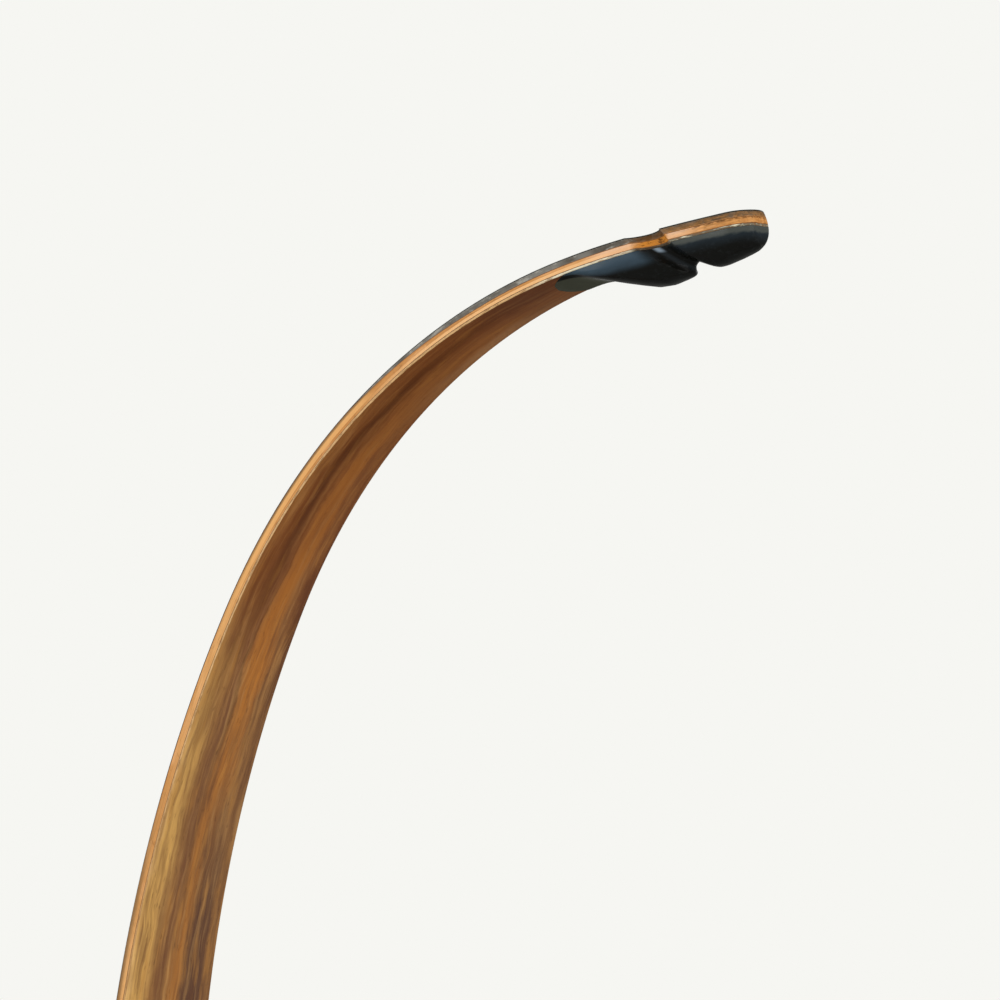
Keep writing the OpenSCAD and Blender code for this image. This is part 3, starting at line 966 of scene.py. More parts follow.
def wear_group() -> bpy.types.NodeTree:
    """Wear: a broken mask on raised edges, from the surface's own curvature.

    Returns:
        The group.
    """
    tree, g, given, out = new_group(
        "Edge wear", {"Place": NOWHERE, "Amount": 0.5, "Pitch": 0.004}, ("Mask",))
    raised = g.node("ShaderNodeNewGeometry").outputs["Pointiness"]
    rough = g.noise(given["Place"], g.math("DIVIDE", 1.0, given["Pitch"]), 4.0, 0.65)
    mask = g.times(g.span(raised, 0.51, 0.6), g.span(rough, 0.42, 0.62))
    g.feed(out["Mask"], g.math("MULTIPLY", mask, given["Amount"], True))
    return tree


def dull_group() -> bpy.types.NodeTree:
    """Handling marks: soft patches where a polished surface has gone a little dull.

    Returns:
        The group.
    """
    tree, g, given, out = new_group(
        "Dull patches", {"Place": NOWHERE, "Pitch": 0.02, "Seed": 0.0}, ("Mask",))
    shifted = g.step("ShaderNodeVectorMath", (given["Place"], g.join(given["Seed"], 0.0, 0.0)),
                     operation="ADD")
    broad = g.noise(shifted, g.math("DIVIDE", 1.0, given["Pitch"]), 4.0, 0.6)
    g.feed(out["Mask"], g.span(broad, 0.4, 0.68))
    return tree


class Effects:
    """The shared node groups, each built once."""

    def __init__(self) -> None:
        """Builds every group."""
        self.grain = grain_group()
        self.streak = streak_group()
        self.wear = wear_group()
        self.dull = dull_group()


EFFECTS = Effects()


class Paint(Graph):
    """A material in the making: its shader, its place on the piece and the colour so far."""

    def __init__(self, name: str, stored: bool = True) -> None:
        """Starts a material with one shader.

        Args:
            name: Name of the material.
            stored: True to read along, across and depth in the wood, as the mesh stores
                them, and False to read the piece's own coordinates.
        """
        self.material = bpy.data.materials.new(name)
        self.material.use_nodes = True
        self.material.node_tree.nodes.clear()
        super().__init__(self.material.node_tree)
        self.shader = self.node("ShaderNodeBsdfPrincipled")
        self.surface = self.node("ShaderNodeOutputMaterial").inputs[0]
        self.feed(self.surface, self.shader.outputs[0])
        if stored:
            self.place = self.node("ShaderNodeAttribute",
                                   attribute_name="place").outputs["Vector"]
            self.share = self.node("ShaderNodeAttribute", attribute_name="share").outputs["Fac"]
            self.along, self.across, self.deep = self.split(self.place)
        else:
            self.place = self.node("ShaderNodeTexCoord").outputs["Object"]
        self.tone: Socket | Colour = NOWHERE

    def drawn(self, factors: Place, shift: Place = NOWHERE, detail: float = 3.0,
              roughness: float = 0.5, distortion: float = 0.0,
              place: Socket | None = None) -> Socket:
        """A noise value drawn out along the grain, with its own factor for each axis."""
        return self.noise(self.stretch(place or self.place, factors, shift), 1.0, detail,
                          roughness, distortion)

    def lay(self, share: object, colour: object) -> None:
        """Lays a share of a colour over the colour so far."""
        self.tone = self.mix(share, self.tone, colour)

    def tint(self, colour: object, *step: object) -> None:
        """Lays a colour over the colour so far by a smooth step, given as for span."""
        self.lay(self.span(*step), colour)

    def cover(self, colour: object, mask: object, share: object) -> None:
        """Lays a colour over the colour so far by the product of two masks."""
        self.lay(self.times(mask, share), colour)

    def rub(self, bare: Colour, amount: float, pitch: float) -> None:
        """Rubs the finish through to another colour on its raised edges."""
        worn = self.use(EFFECTS.wear, Place=self.place, Amount=amount, Pitch=pitch)
        self.lay(worn["Mask"], bare)

    def polish(self, pitch: float, seed: float, bright: float, dull: float) -> Socket:
        """Roughness of a polished surface, between dull patches and in them."""
        patches = self.use(EFFECTS.dull, Place=self.place, Pitch=pitch, Seed=seed)
        return self.span(patches["Mask"], 0.0, 1.0, bright, dull)

    def done(self, coat: object, coat_roughness: float, coat_ior: float = THIN_COAT,
             **sources: object) -> Material:
        """Feeds the shader of a finish that shines by its coat alone.

        Args:
            coat: Weight of the coat.
            coat_roughness: Its roughness.
            coat_ior: Its index of refraction.
            sources: The other inputs, with _ for each space in a name.

        Returns:
            The finished material.
        """
        self.wire(self.shader, Base_Color=self.tone, Specular_IOR_Level=0.0, Coat_Weight=coat,
                  Coat_Roughness=coat_roughness, Coat_IOR=coat_ior, **sources)
        return self.material


# Finishes, whose spans and bands along a limb are metres from its butt


@dataclass(frozen=True)
class Streak:
    """A long streak of colour in a veneer, across in shares of the width from the right."""

    centre: float
    half: float
    start: float
    end: float
    colour: Colour
    strength: float = 1.0
    softness: float = 0.05
    fade: float = 0.05


@dataclass(frozen=True)
class VeneerBack:
    """Figured veneer under the clear glass of a limb's back."""

    name: str
    seed: float
    streaks: tuple[Streak, ...]
    top_streaks: tuple[Streak, ...] = ()
    base: Colour = rgb(168, 120, 68)
    dark: Colour = rgb(112, 74, 46)
    pale: Colour = rgb(186, 140, 86)
    gold: Colour = rgb(184, 128, 62)
    vein: Colour = rgb(96, 60, 42)
    pore: Colour = rgb(70, 42, 28)
    # Tones along the curl: painted shade where the back turns down, the warm one partly the
    # wood's own redder colour.
    warm: Colour = rgb(148, 82, 30)
    warm_at: Span = (0.25, 0.33)
    shadow: Colour = rgb(64, 28, 14)
    shadow_at: Span = (0.24, 0.42)
    grey: Colour = rgb(46, 38, 42)
    grey_at: Span = (0.425, 0.465)
    # The glass edge: its own pale cream with a painted highlight along the corner, brighter
    # towards the tip.
    cream: Colour = rgb(206, 166, 116)
    cream_tip: Colour = rgb(222, 212, 184)
    tip_at: Span = (0.466, 0.482)
    cream_end: Colour = rgb(112, 106, 90)
    end_at: Span = (0.506, 0.514)
    edge_dark: Colour = rgb(128, 88, 52)
    edge_plain: Colour = rgb(164, 118, 70)
    plain_to: Span = (0.17, 0.25)
    nock_shade: Colour = rgb(62, 48, 34)
    nock: Band = (0.5095, 0.5120, 0.5205, 0.5225)
    edge_depth: Span = (0.00002, 0.0001)
    coat: Span = (0.3, 0.03)
    coat_at: Span = (0.26, 0.42)

    def lay(self, g: Paint, streaks: Sequence[Streak], across: Socket,
            broken: Socket) -> None:
        """Lays streaks over the colour so far.

        Args:
            g: The material in the making.
            streaks: The streaks, from the lowest up.
            across: Place across the limb, from the right.
            broken: How much of a streak shows between the fibres.
        """
        for streak in streaks:
            mask = g.use(EFFECTS.streak, Along=g.along, Across=across, Centre=streak.centre,
                         Half_width=streak.half, From=streak.start, To=streak.end,
                         Softness=streak.softness, Fade=streak.fade)["Mask"]
            g.cover(streak.colour, g.times(mask, broken), streak.strength)

    def face(self, g: Paint) -> None:
        """Colours the veneer: grain and streaks, then fine lines, then the run to the tip,
        where painted shade darkens the curl.

        Args:
            g: The material in the making.
        """
        bend = g.noise(g.join(g.times(g.along, 30.0), self.seed, g.times(g.across, 70.0)), 1.0,
                       4.0, 0.6)
        across = g.plus(g.times(g.plus(g.share, 1.0), 0.5), g.sway(bend, 0.3))
        ripple = g.drawn((38.0, 60.0, 1.0), (self.seed, 23.0, 0.0), 2.0)
        wavy = g.join(g.along, g.plus(g.across, g.sway(ripple, 0.0042)), g.deep)
        grain = g.use(EFFECTS.grain, Place=wavy, Seed=self.seed, Figure_pitch=0.0032,
                      Fibre_pitch=0.00055, Run=0.085)
        broken = g.span(grain["Fibre"], -0.4, 1.0, 0.72, 1.0)

        def lines(run: float, pitch: float, start: float, *more: float) -> Socket:
            """Noise in long lines: how fast it changes along and across, and its start."""
            return g.drawn((run, pitch, 1.0), (self.seed, start, 0.0), *more, place=wavy)

        g.tone = self.base
        g.cover(self.dark, grain["Figure"], 0.75)
        g.tint(self.pale, lines(12.0, 220.0, 3.0), 0.5, 0.78, 0.0, 0.7)
        self.lay(g, self.streaks, across, broken)
        g.cover(self.dark, grain["Fibre"], 0.34)
        g.tint(self.pale, lines(44.0, 1100.0, 7.0), 0.5, 0.74, 0.0, 0.24)
        g.tint(self.dark, lines(34.0, 560.0, 11.0), 0.48, 0.7, 0.0, 0.5)
        vein = lines(20.0, 300.0, 17.0, 4.0, 0.62, 0.3)
        g.tint(self.vein, vein, 0.53, 0.64, 0.0, 0.4)
        g.tint(self.pale, vein, 0.34, 0.46, 0.28, 0.0)
        patch = lines(42.0, 360.0, 29.0, 4.0)
        g.tint(self.dark, patch, 0.5, 0.72, 0.0, 0.32)
        g.tint(self.gold, patch, 0.3, 0.47, 0.32, 0.0)
        g.cover(self.pore, grain["Pore"], 0.3)
        # Painted shade over the curl, where the back turns down and away from the lamps: a warm
        # tone, partly the wood's own redder colour, then a dark shadow and a cool grey.
        g.tint(self.warm, g.along, *self.warm_at, 0.0, 0.42)
        g.tint(self.shadow, g.along, *self.shadow_at, 0.0, 0.26)
        g.tint(self.grey, g.along, *self.grey_at, 0.0, 0.3)
        self.lay(g, self.top_streaks, across, broken)

    def edge(self, g: Paint) -> None:
        """Colours the edge of the clear glass: its own pale cream with a painted highlight
        along it, brightest towards the tip and faded at the butt, and painted shadow in the
        nock.

        Args:
            g: The material in the making.
        """
        past = g.span(g.along, *self.end_at)
        scuff = g.drawn((240.0, 900.0, 2600.0), NOWHERE, 4.0, 0.7)
        g.tone = self.cream
        g.tint(self.cream_tip, g.along, *self.tip_at)
        g.lay(past, self.cream_end)
        g.tint(self.edge_dark, scuff, 0.46, 0.62, 0.0, 0.75)
        g.tint(self.edge_plain, g.along, *self.plain_to, 0.5, 0.0)
        g.cover(self.cream_tip, past, g.span(scuff, 0.36, 0.46, 0.9, 0.0))
        g.lay(g.band(g.along, self.nock, 0.8), self.nock_shade)

    def material(self) -> Material:
        """Builds the material.

        Returns:
            The material, with the veneer on the face and cream glass on the edges.
        """
        g = Paint(self.name)
        self.edge(g)
        edge = g.tone
        self.face(g)
        g.tint(edge, g.deep, *self.edge_depth)
        wave = g.drawn((60.0, 300.0, 300.0), NOWHERE, 2.0)
        return g.done(g.span(g.along, *self.coat_at, *self.coat), 0.12,
                      Roughness=g.polish(0.03, self.seed, 0.3, 0.42),
                      Normal=g.bump(wave, 0.12, 0.0004))


@dataclass(frozen=True)
class WoodEdge:
    """Long-grained wood, seen on the edge of a limb or as a block of the riser."""

    name: str
    base: Colour
    dark: Colour
    pale: Colour
    seed: float = 0.0
    figure_pitch: float = 0.003
    fibre_pitch: float = 0.0005
    run: float = 0.1
    figure: float = 0.8
    fibre: float = 0.35
    pore: float = 0.3
    roughness: float = 0.34
    coat: float = 0.5
    coat_roughness: float = 0.15
    height: float = 0.00006
    # Painted highlight: a pale, mottled glow along the edge strip in the limb's bend and
    # towards the tip.
    glow: Colour | None = None
    highlight_band: Band = (0.38, 0.43, 0.497, 0.507)
    mottle_dark: Colour = rgb(206, 144, 80)
    mottle_pale: Colour = rgb(240, 182, 128)
    # Painted shade on the side of a core by the belly, darker along its outer edge in the bend.
    far_shade: Colour | None = None
    far_to: Span = (0.175, 0.24)
    rim: Colour = rgb(112, 88, 58)
    rim_at: Span = (0.27, 0.34)
    frayed: Colour = rgb(122, 84, 48)
    frayed_at: Span = (0.519, 0.524)
    nock_pale: Colour | None = None
    before_nock: Band = (0.490, 0.502, 0.509, 0.512)
    after_nock: Band = (0.5215, 0.5235, 0.525, 0.535)
    # Painted shade in the string groove, broken by dark specks.
    groove_shade: Colour | None = None
    nock: Band = (0.5105, 0.5130, 0.5212, 0.5232)
    char: Colour = rgb(86, 50, 20)
    char_at: Span = (0.507, 0.514)

    def timber(self, g: Paint, grain: dict[str, Socket]) -> None:
        """Colours the plain wood.

        Args:
            g: The material in the making.
            grain: The grain's figure, fibres and pores.
        """
        g.tone = self.base
        g.cover(self.dark, grain["Figure"], self.figure)
        g.tint(self.pale, g.drawn((5.0, 90.0, 90.0), (self.seed, 1.0, 0.0)), 0.48, 0.72, 0.0,
               0.8)
        g.cover(self.dark, grain["Fibre"], self.fibre)
        g.cover(tuple(c * 0.35 for c in self.dark), grain["Pore"], self.pore)

    def long_marks(self, g: Paint) -> None:
        """Paints a highlight that brightens the limb's bend, and paints shade on the side of a
        core by the belly.

        Args:
            g: The material in the making.
        """
        if self.glow:
            # Painted highlight, mottled, along the bend.
            mottle = g.drawn((75.0, 260.0, 700.0), (self.seed, 13.0, 0.0))
            g.tint(self.mottle_dark, mottle, 0.52, 0.66, 0.0, 0.4)
            g.tint(self.mottle_pale, mottle, 0.34, 0.46, 0.35, 0.0)
            g.lay(g.band(g.along, self.highlight_band, 0.8), self.glow)
        if self.far_shade:
            # Painted shade: darker towards the belly near the butt, and along the outer edge in
            # the bend.
            g.cover(self.far_shade, g.span(g.deep, -0.0004, 0.0026),
                    g.span(g.along, *self.far_to, 1.0, 0.0))
            g.cover(self.rim, g.span(g.deep, 0.0013, 0.0021, 0.0, 0.8),
                    g.span(g.along, *self.rim_at))
            specks = g.drawn((420.0, 1400.0, 1900.0), (5.0, 0.0, 0.0), 4.0, 0.65)
            specks = g.times(g.span(specks, 0.44, 0.58), g.span(g.along, *self.frayed_at))
            g.cover(self.frayed, specks, g.span(g.deep, 0.0, 0.0006))

    def nock_marks(self, g: Paint) -> None:
        """Pales the wood on both sides of the nock, and paints shade in the string groove,
        broken by dark specks.

        Args:
            g: The material in the making.
        """
        if self.nock_pale:
            # The mask named worn only marks the paler, pinker patches painted on both sides of
            # the nock.
            worn = g.plus(g.band(g.along, self.before_nock), g.band(g.along, self.after_nock))
            g.cover(self.nock_pale, worn, 0.7)
        if self.groove_shade:
            # Painted shade in the string groove, with dark specks.
            in_groove = g.band(g.along, self.nock)
            g.cover(self.groove_shade, in_groove, 0.85)
            char = g.drawn((420.0, 1000.0, 1500.0), NOWHERE, 4.0, 0.65)
            specked = g.plus(g.times(in_groove, 0.6), g.span(g.along, *self.char_at, 0.0, 0.22))
            g.cover(self.char, g.span(char, 0.48, 0.64), specked)

    def material(self) -> Material:
        """Builds the material.

        Returns:
            The material.
        """
        g = Paint(self.name)
        grain = g.use(EFFECTS.grain, Place=g.place, Seed=self.seed,
                      Figure_pitch=self.figure_pitch, Fibre_pitch=self.fibre_pitch,
                      Run=self.run)
        self.timber(g, grain)
        self.long_marks(g)
        self.nock_marks(g)
        height = g.plus(grain["Fibre"], g.times(grain["Pore"], -1.5))
        return g.done(self.coat, self.coat_roughness,
                      Roughness=g.polish(0.025, self.seed, self.roughness,
                                         self.roughness + 0.14),
                      Normal=g.bump(height, 0.5, self.height))


@dataclass(frozen=True)
class Composite:
    """Ground composite, such as the grey wedge or the belly glass."""

    name: str
    base: Colour
    fleck: Colour
    shade: Colour
    fleck_pitch: float
    stretch_by: float
    fleck_share: float
    roughness: float
    spread: float = 0.12
    coat: float = 0.0
    wear: float = 0.15
    height: float = 0.00003
    tip_tone: Colour | None = None
    tip_at: Span = (0.507, 0.512)
    ragged_tone: Colour = rgb(168, 116, 60)
    belly_side_shade: Colour = rgb(80, 62, 44)
    border_tone: Colour = rgb(206, 142, 78)
    nock_shade: Colour = rgb(64, 38, 18)
    nock: Band = (0.5085, 0.5115, 0.5195, 0.5225)

    def brown(self, g: Paint, fine: Socket) -> None:
        """Browns the composite towards the limb's end, with painted shade towards its belly
        side and in the nock, and a ragged border to the core.

        Args:
            g: The material in the making.
            fine: The fine flecks.
        """
        plain, g.tone = g.tone, self.tip_tone
        g.tint(tuple(c * 0.4 for c in self.tip_tone), fine, 0.35, 0.65)
        ragged = g.drawn((330.0, 1100.0, 1700.0), NOWHERE, 4.0, 0.65)
        g.tint(self.ragged_tone, ragged, 0.5, 0.66, 0.0, 0.62)
        # Painted shade, darker towards the belly side.
        g.tint(self.belly_side_shade, g.deep, 0.0007, 0.0019, 0.0, 0.75)
        border = g.plus(g.deep, g.times(ragged, 0.0011))
        g.tint(self.border_tone, border, 0.0005, 0.0008, 0.85, 0.0)
        brown, g.tone = g.tone, plain
        g.tint(brown, g.along, *self.tip_at, 0.0, 0.92)
        g.lay(g.band(g.along, self.nock, 0.6), self.nock_shade)

    def material(self) -> Material:
        """Builds the material.

        Returns:
            The material.
        """
        g = Paint(self.name)
        pitch = 1.0 / self.fleck_pitch
        fine = g.drawn((pitch / self.stretch_by, pitch, pitch), NOWHERE, 3.0, 0.6)
        broad = g.drawn((pitch * 0.1, pitch * 0.22, pitch * 0.22), (4.0, 0.0, 0.0), 2.0)
        g.tone = self.base
        g.tint(self.shade, broad, 0.35, 0.65)
        g.tint(self.fleck, fine, 0.5, 0.7, 0.0, self.fleck_share)
        if self.tip_tone:
            self.brown(g, fine)
        g.rub(self.fleck, self.wear, 0.003)
        return g.done(self.coat, 0.3,
                      Roughness=g.polish(0.012, 2.0, self.roughness,
                                         self.roughness + self.spread),
                      Normal=g.bump(fine, 0.4, self.height))


@dataclass(frozen=True)
class OverlayFinish:
    """Black overlay, with a painted blue-grey reflection on the side of the hump, a painted
    highlight on the groove's edge, a grey bevel by the tip and a painted olive sheen on the
    tongue.
    """

    name: str
    base: Colour = rgb(15, 15, 13)
    fleck: Colour = rgb(36, 39, 40)
    # Painted reflection: a blue-grey sheen on the side of the hump, by the limb's edge, and on
    # the nose.
    flank_reflection: Colour = rgb(60, 75, 86)
    flank_side: Span = (0.86, 0.96)
    flank_from: Span = (0.480, 0.490)
    flank_to: Span = (0.5085, 0.5145)
    flank_deepens: Span = (0.484, 0.503)
    flank_floor: Span = (-0.0019, -0.0072)
    nose_from: Span = (0.519, 0.526)
    # Painted highlight on the string groove's edge.
    lip: Colour = rgb(134, 148, 160)
    lip_band: Band = (0.5148, 0.5162, 0.5164, 0.5180)
    bevel: Colour = rgb(84, 86, 79)
    bevel_from: Span = (0.521, 0.525)
    # Painted sheen: the flat tongue is coloured a lighter olive grey for the grazing reflection
    # it shows.
    tongue: Colour = rgb(62, 63, 52)
    tongue_to: Span = (0.486, 0.500)
    tongue_side: Span = (-0.72, -0.62)
    shine_at: Span = (0.484, 0.496)
    lean: float = 1.2

    def faces(self, g: Paint, broad: Socket) -> None:
        """Lays the painted sheen of the carved faces: a blue-grey reflection on the side of the
        hump and on the nose, a highlight on the groove's edge, the grey bevel and a lighter
        sheen on the tongue.

        Args:
            g: The material in the making.
            broad: A broad unevenness.
        """
        depth = g.plus(g.deep, g.sway(broad, 0.0026))
        leaning = g.plus(g.along, g.times(g.deep, self.lean))
        side = g.span(g.math("ABSOLUTE", g.share), *self.flank_side)
        floor = g.span(g.along, *self.flank_deepens, *self.flank_floor)
        # Painted reflection: the blue-grey sheen on the side of the hump, then on the nose.
        flank_reflection = g.times(g.span(depth, floor, -0.0008),
                        g.times(g.span(g.along, *self.flank_from),
                                g.span(leaning, *self.flank_to, 1.0, 0.0)))
        g.cover(self.flank_reflection, g.times(flank_reflection, side), 0.95)
        g.cover(self.flank_reflection, g.span(depth, -0.0050, -0.0012),
                g.span(leaning, *self.nose_from, 0.0, 0.24))
        # Painted highlight: a small bright spot on the groove's edge.
        g.cover(self.lip, g.band(leaning, self.lip_band),
                g.span(g.deep, -0.0020, -0.0009, 0.05, 1.0))
        g.cover(self.bevel, g.span(depth, -0.0021, -0.0011),
                g.span(leaning, *self.bevel_from, 0.0, 0.62))
        # Painted sheen on the flat tongue.
        g.cover(self.tongue, g.span(g.along, *self.tongue_to, 0.92, 0.0),
                g.span(g.share, *self.tongue_side))

    def material(self) -> Material:
        """Builds the material.

        Returns:
            The material.
        """
        g = Paint(self.name)
        fine = g.drawn((700.0, 1100.0, 1100.0), NOWHERE, 3.0, 0.6)
        broad = g.drawn((90.0, 240.0, 240.0), NOWHERE, 3.0, 0.6)
        g.tone = self.base
        g.tint(self.fleck, fine, 0.52, 0.75, 0.0, 0.35)
        self.faces(g, broad)
        g.rub(self.bevel, 0.25, 0.002)
        return g.done(g.span(g.along, *self.shine_at, 0.02, 0.16), 0.2, 1.35,
                      Roughness=g.polish(0.012, 2.0, 0.26, 0.4),
                      Normal=g.bump(g.plus(fine, broad), 0.4, 0.00004))


@dataclass(frozen=True)
class MetalFinish:
    """Turned metal, with fine tool rings and worn edges."""

    name: str
    base: Colour
    worn: Colour
    roughness: float

    def material(self) -> Material:
        """Builds the material.

        Returns:
            The material.
        """
        g = Paint(self.name, False)
        stain = g.noise(g.place, 260.0, 4.0, 0.6)
        g.tone = self.base
        g.tint(tuple(c * 0.6 for c in self.base), stain, 0.35, 0.7, 0.0, 0.5)
        g.rub(self.worn, 0.7, 0.0015)
        fine = g.drawn((1800.0, 1800.0, 5200.0), NOWHERE, 2.0)
        g.wire(g.shader, Base_Color=g.tone, Metallic=1.0,
               Roughness=g.span(stain, 0.3, 0.75, self.roughness, self.roughness + 0.16),
               Normal=g.bump(fine, 0.25, 0.00002))
        return g.material


@dataclass(frozen=True)
class HideFinish:
    """Soft hide: a napped or grained skin with small creases, darkened with painted shade."""

    name: str
    base: Colour
    shade: Colour
    nap: Colour
    grain_pitch: float = 0.0011
    roughness: float = 0.85
    sheen: float = 0.3

    def material(self) -> Material:
        """Builds the material.

        Returns:
            The material.
        """
        g = Paint(self.name, False)
        cells = g.wire(g.node("ShaderNodeTexVoronoi", feature="DISTANCE_TO_EDGE"),
                       Vector=g.place, Scale=1.0 / self.grain_pitch)
        crease = g.span(cells.outputs["Distance"], 0.0, 0.22)
        patch = g.noise(g.place, 220.0, 4.0, 0.6)
        fuzz = g.noise(g.place, 2600.0, 3.0, 0.7)
        g.tone = self.base
        g.tint(self.shade, patch, 0.35, 0.68)
        g.tint(self.nap, fuzz, 0.45, 0.75, 0.0, 0.6)
        # Painted shade in the creases of the grain.
        g.lay(g.math("SUBTRACT", 1.0, crease), self.shade)
        g.wire(g.shader, Base_Color=g.tone, Sheen_Weight=self.sheen, Specular_IOR_Level=0.3,
               Roughness=g.span(patch, 0.3, 0.7, self.roughness - 0.12, self.roughness),
               Normal=g.bump(g.plus(crease, g.times(fuzz, 0.6)), 0.6, 0.0002))
        return g.material


UPPER_STREAKS = (
    Streak(0.05, 0.17, 0.0, 0.27, rgb(226, 176, 98), 0.88, 0.10),
    Streak(0.39, 0.045, 0.10, 0.36, rgb(110, 70, 50), 0.65),
    Streak(0.62, 0.15, 0.21, 0.40, rgb(172, 108, 50), 0.75),
    Streak(0.55, 0.06, 0.02, 0.23, rgb(176, 112, 50), 0.75),
    Streak(0.76, 0.13, 0.02, 0.205, rgb(76, 52, 46), 0.95, 0.06, 0.035),
    Streak(0.20, 0.10, 0.29, 0.37, rgb(84, 50, 32), 0.8, 0.06, 0.03),
    Streak(0.94, 0.06, 0.25, 0.44, rgb(88, 50, 32), 0.85),
    Streak(0.31, 0.06, 0.285, 0.365, rgb(66, 36, 22), 0.8, 0.05, 0.03),
    Streak(0.30, 0.45, 0.40, 0.62, rgb(122, 70, 44), 0.8, 0.12, 0.06),
    Streak(0.31, 0.09, 0.33, 0.50, rgb(38, 15, 12), 0.9, 0.06, 0.03),
    Streak(0.46, 0.022, 0.25, 0.43, rgb(56, 28, 18), 0.75, 0.02, 0.03),
    Streak(0.17, 0.025, 0.27, 0.46, rgb(56, 28, 18), 0.6, 0.02, 0.03),
    Streak(0.64, 0.10, 0.24, 0.39, rgb(196, 122, 44), 0.6, 0.06, 0.04),
    Streak(0.12, 0.10, 0.42, 0.52, rgb(96, 50, 32), 0.6, 0.06, 0.03),
    Streak(0.80, 0.22, 0.38, 0.62, rgb(164, 110, 64), 0.8, 0.1, 0.05),
    Streak(0.20, 0.30, 0.435, 0.60, rgb(42, 28, 28), 0.72, 0.10, 0.03),
    Streak(0.97, 0.04, 0.27, 0.36, rgb(70, 38, 24), 0.7, 0.04, 0.03),
    # Painted highlight: a thin bright line along the near edge of the back, low on the limb.
    Streak(0.0, 0.045, 0.0, 0.25, rgb(240, 194, 130), 0.6, 0.05, 0.04),
)
UPPER_TOP_STREAKS = (
    Streak(0.33, 0.07, 0.305, 0.43, rgb(52, 24, 18), 0.42, 0.06, 0.03),
    Streak(0.95, 0.06, 0.275, 0.33, rgb(62, 24, 16), 0.32, 0.05, 0.03),
    Streak(0.92, 0.10, 0.405, 0.455, rgb(176, 138, 100), 0.3, 0.08, 0.03),
    Streak(0.12, 0.10, 0.245, 0.29, rgb(110, 66, 36), 0.3, 0.08, 0.02),
)
LOWER_STREAKS = (
    Streak(0.12, 0.12, 0.0, 0.30, rgb(188, 144, 86), 0.8),
    Streak(0.46, 0.07, 0.06, 0.40, rgb(112, 72, 50), 0.8),
    Streak(0.68, 0.13, 0.15, 0.42, rgb(168, 106, 52), 0.75),
    Streak(0.86, 0.10, 0.02, 0.30, rgb(106, 72, 56), 0.8),
    Streak(0.25, 0.06, 0.24, 0.36, rgb(98, 62, 40), 0.7, 0.06, 0.03),
    Streak(0.35, 0.45, 0.40, 0.62, rgb(124, 72, 46), 0.8, 0.12, 0.06),
)


def make_finishes() -> dict[str, Material]:
    """Builds every material.

    Returns:
        The materials, each under the name of its use.
    """
    line = WoodEdge("Veneer edge", rgb(150, 98, 54), rgb(84, 52, 32), rgb(190, 138, 86), 1.0,
                    coat=0.05, coat_roughness=0.3)
    core = WoodEdge("Limb core by the back", rgb(212, 152, 90), rgb(172, 110, 56),
                    rgb(232, 178, 116), 2.0, 0.0011, 0.00035, 0.05, figure=0.6, fibre=0.4,
                    pore=0.35, roughness=0.5, coat=0.05, coat_roughness=0.3, height=0.00003,
                    glow=rgb(240, 188, 130), nock_pale=rgb(240, 190, 146),
                    groove_shade=rgb(202, 128, 46))
    heart = WoodEdge("Dark riser wood", rgb(108, 56, 32), rgb(62, 28, 17), rgb(144, 84, 48),
                     6.0, 0.004, 0.0006, 0.14, coat=0.3)
    finishes = dict(
        upper_back=VeneerBack("Figured back, upper", 3.1, UPPER_STREAKS, UPPER_TOP_STREAKS),
        lower_back=VeneerBack("Figured back, lower", 8.7, LOWER_STREAKS),
        dark_line=line,
        back_core=core,
        belly_core=replace(core, name="Limb core by the belly", far_shade=rgb(132, 102, 68),
                           glow=rgb(230, 172, 106), highlight_band=(0.27, 0.32, 0.39, 0.40),
                           nock_pale=rgb(240, 196, 160)),
        grey_wedge=Composite("Grey wedge", rgb(122, 118, 110), rgb(170, 165, 154),
                             rgb(84, 77, 68), 0.0013, 3.0, 0.7, 0.5, coat=0.04,
                             tip_tone=rgb(134, 96, 56)),
        butt_wedge=WoodEdge("Butt wedge", rgb(104, 58, 36), rgb(62, 32, 20),
                            rgb(140, 84, 52), 4.0, coat=0.06),
        pale_line=replace(line, name="Pale veneer", base=rgb(150, 100, 58),
                          dark=rgb(92, 58, 34), pale=rgb(196, 148, 98), seed=5.0),
        belly_glass=Composite("Belly glass", rgb(34, 36, 30), rgb(66, 68, 56),
                              rgb(21, 22, 18), 0.0005, 60.0, 0.4, 0.34, 0.1, coat=0.3),
        overlay=OverlayFinish("Tip overlay"),
        black_steel=MetalFinish("Blackened steel", rgb(52, 52, 55), rgb(150, 148, 146), 0.38),
        brass=MetalFinish("Brass", rgb(196, 152, 84), rgb(232, 200, 132), 0.26),
        pin_steel=MetalFinish("Bright steel", rgb(176, 177, 180), rgb(214, 214, 216), 0.2),
        riser_core=heart,
        riser_stripe=replace(heart, name="Pale riser stripe", base=rgb(222, 190, 142),
                             dark=rgb(190, 150, 102), pale=rgb(238, 214, 172), seed=7.0,
                             figure_pitch=0.003, fibre_pitch=0.0005, run=0.16),
        riser_side=replace(heart, name="Figured riser wood", base=rgb(150, 96, 54),
                           dark=rgb(96, 56, 34), pale=rgb(180, 126, 76), seed=9.0,
                           figure_pitch=0.0045, run=0.12),
        shelf_hide=HideFinish("Shelf hide", rgb(44, 38, 34), rgb(24, 20, 18), rgb(84, 74, 66)),
        strike_leather=HideFinish("Strike leather", rgb(104, 66, 42), rgb(66, 40, 26),
                                  rgb(136, 94, 62), 0.0014, 0.7, 0.15))
    return {name: finish.material() for name, finish in finishes.items()}


# Limbs


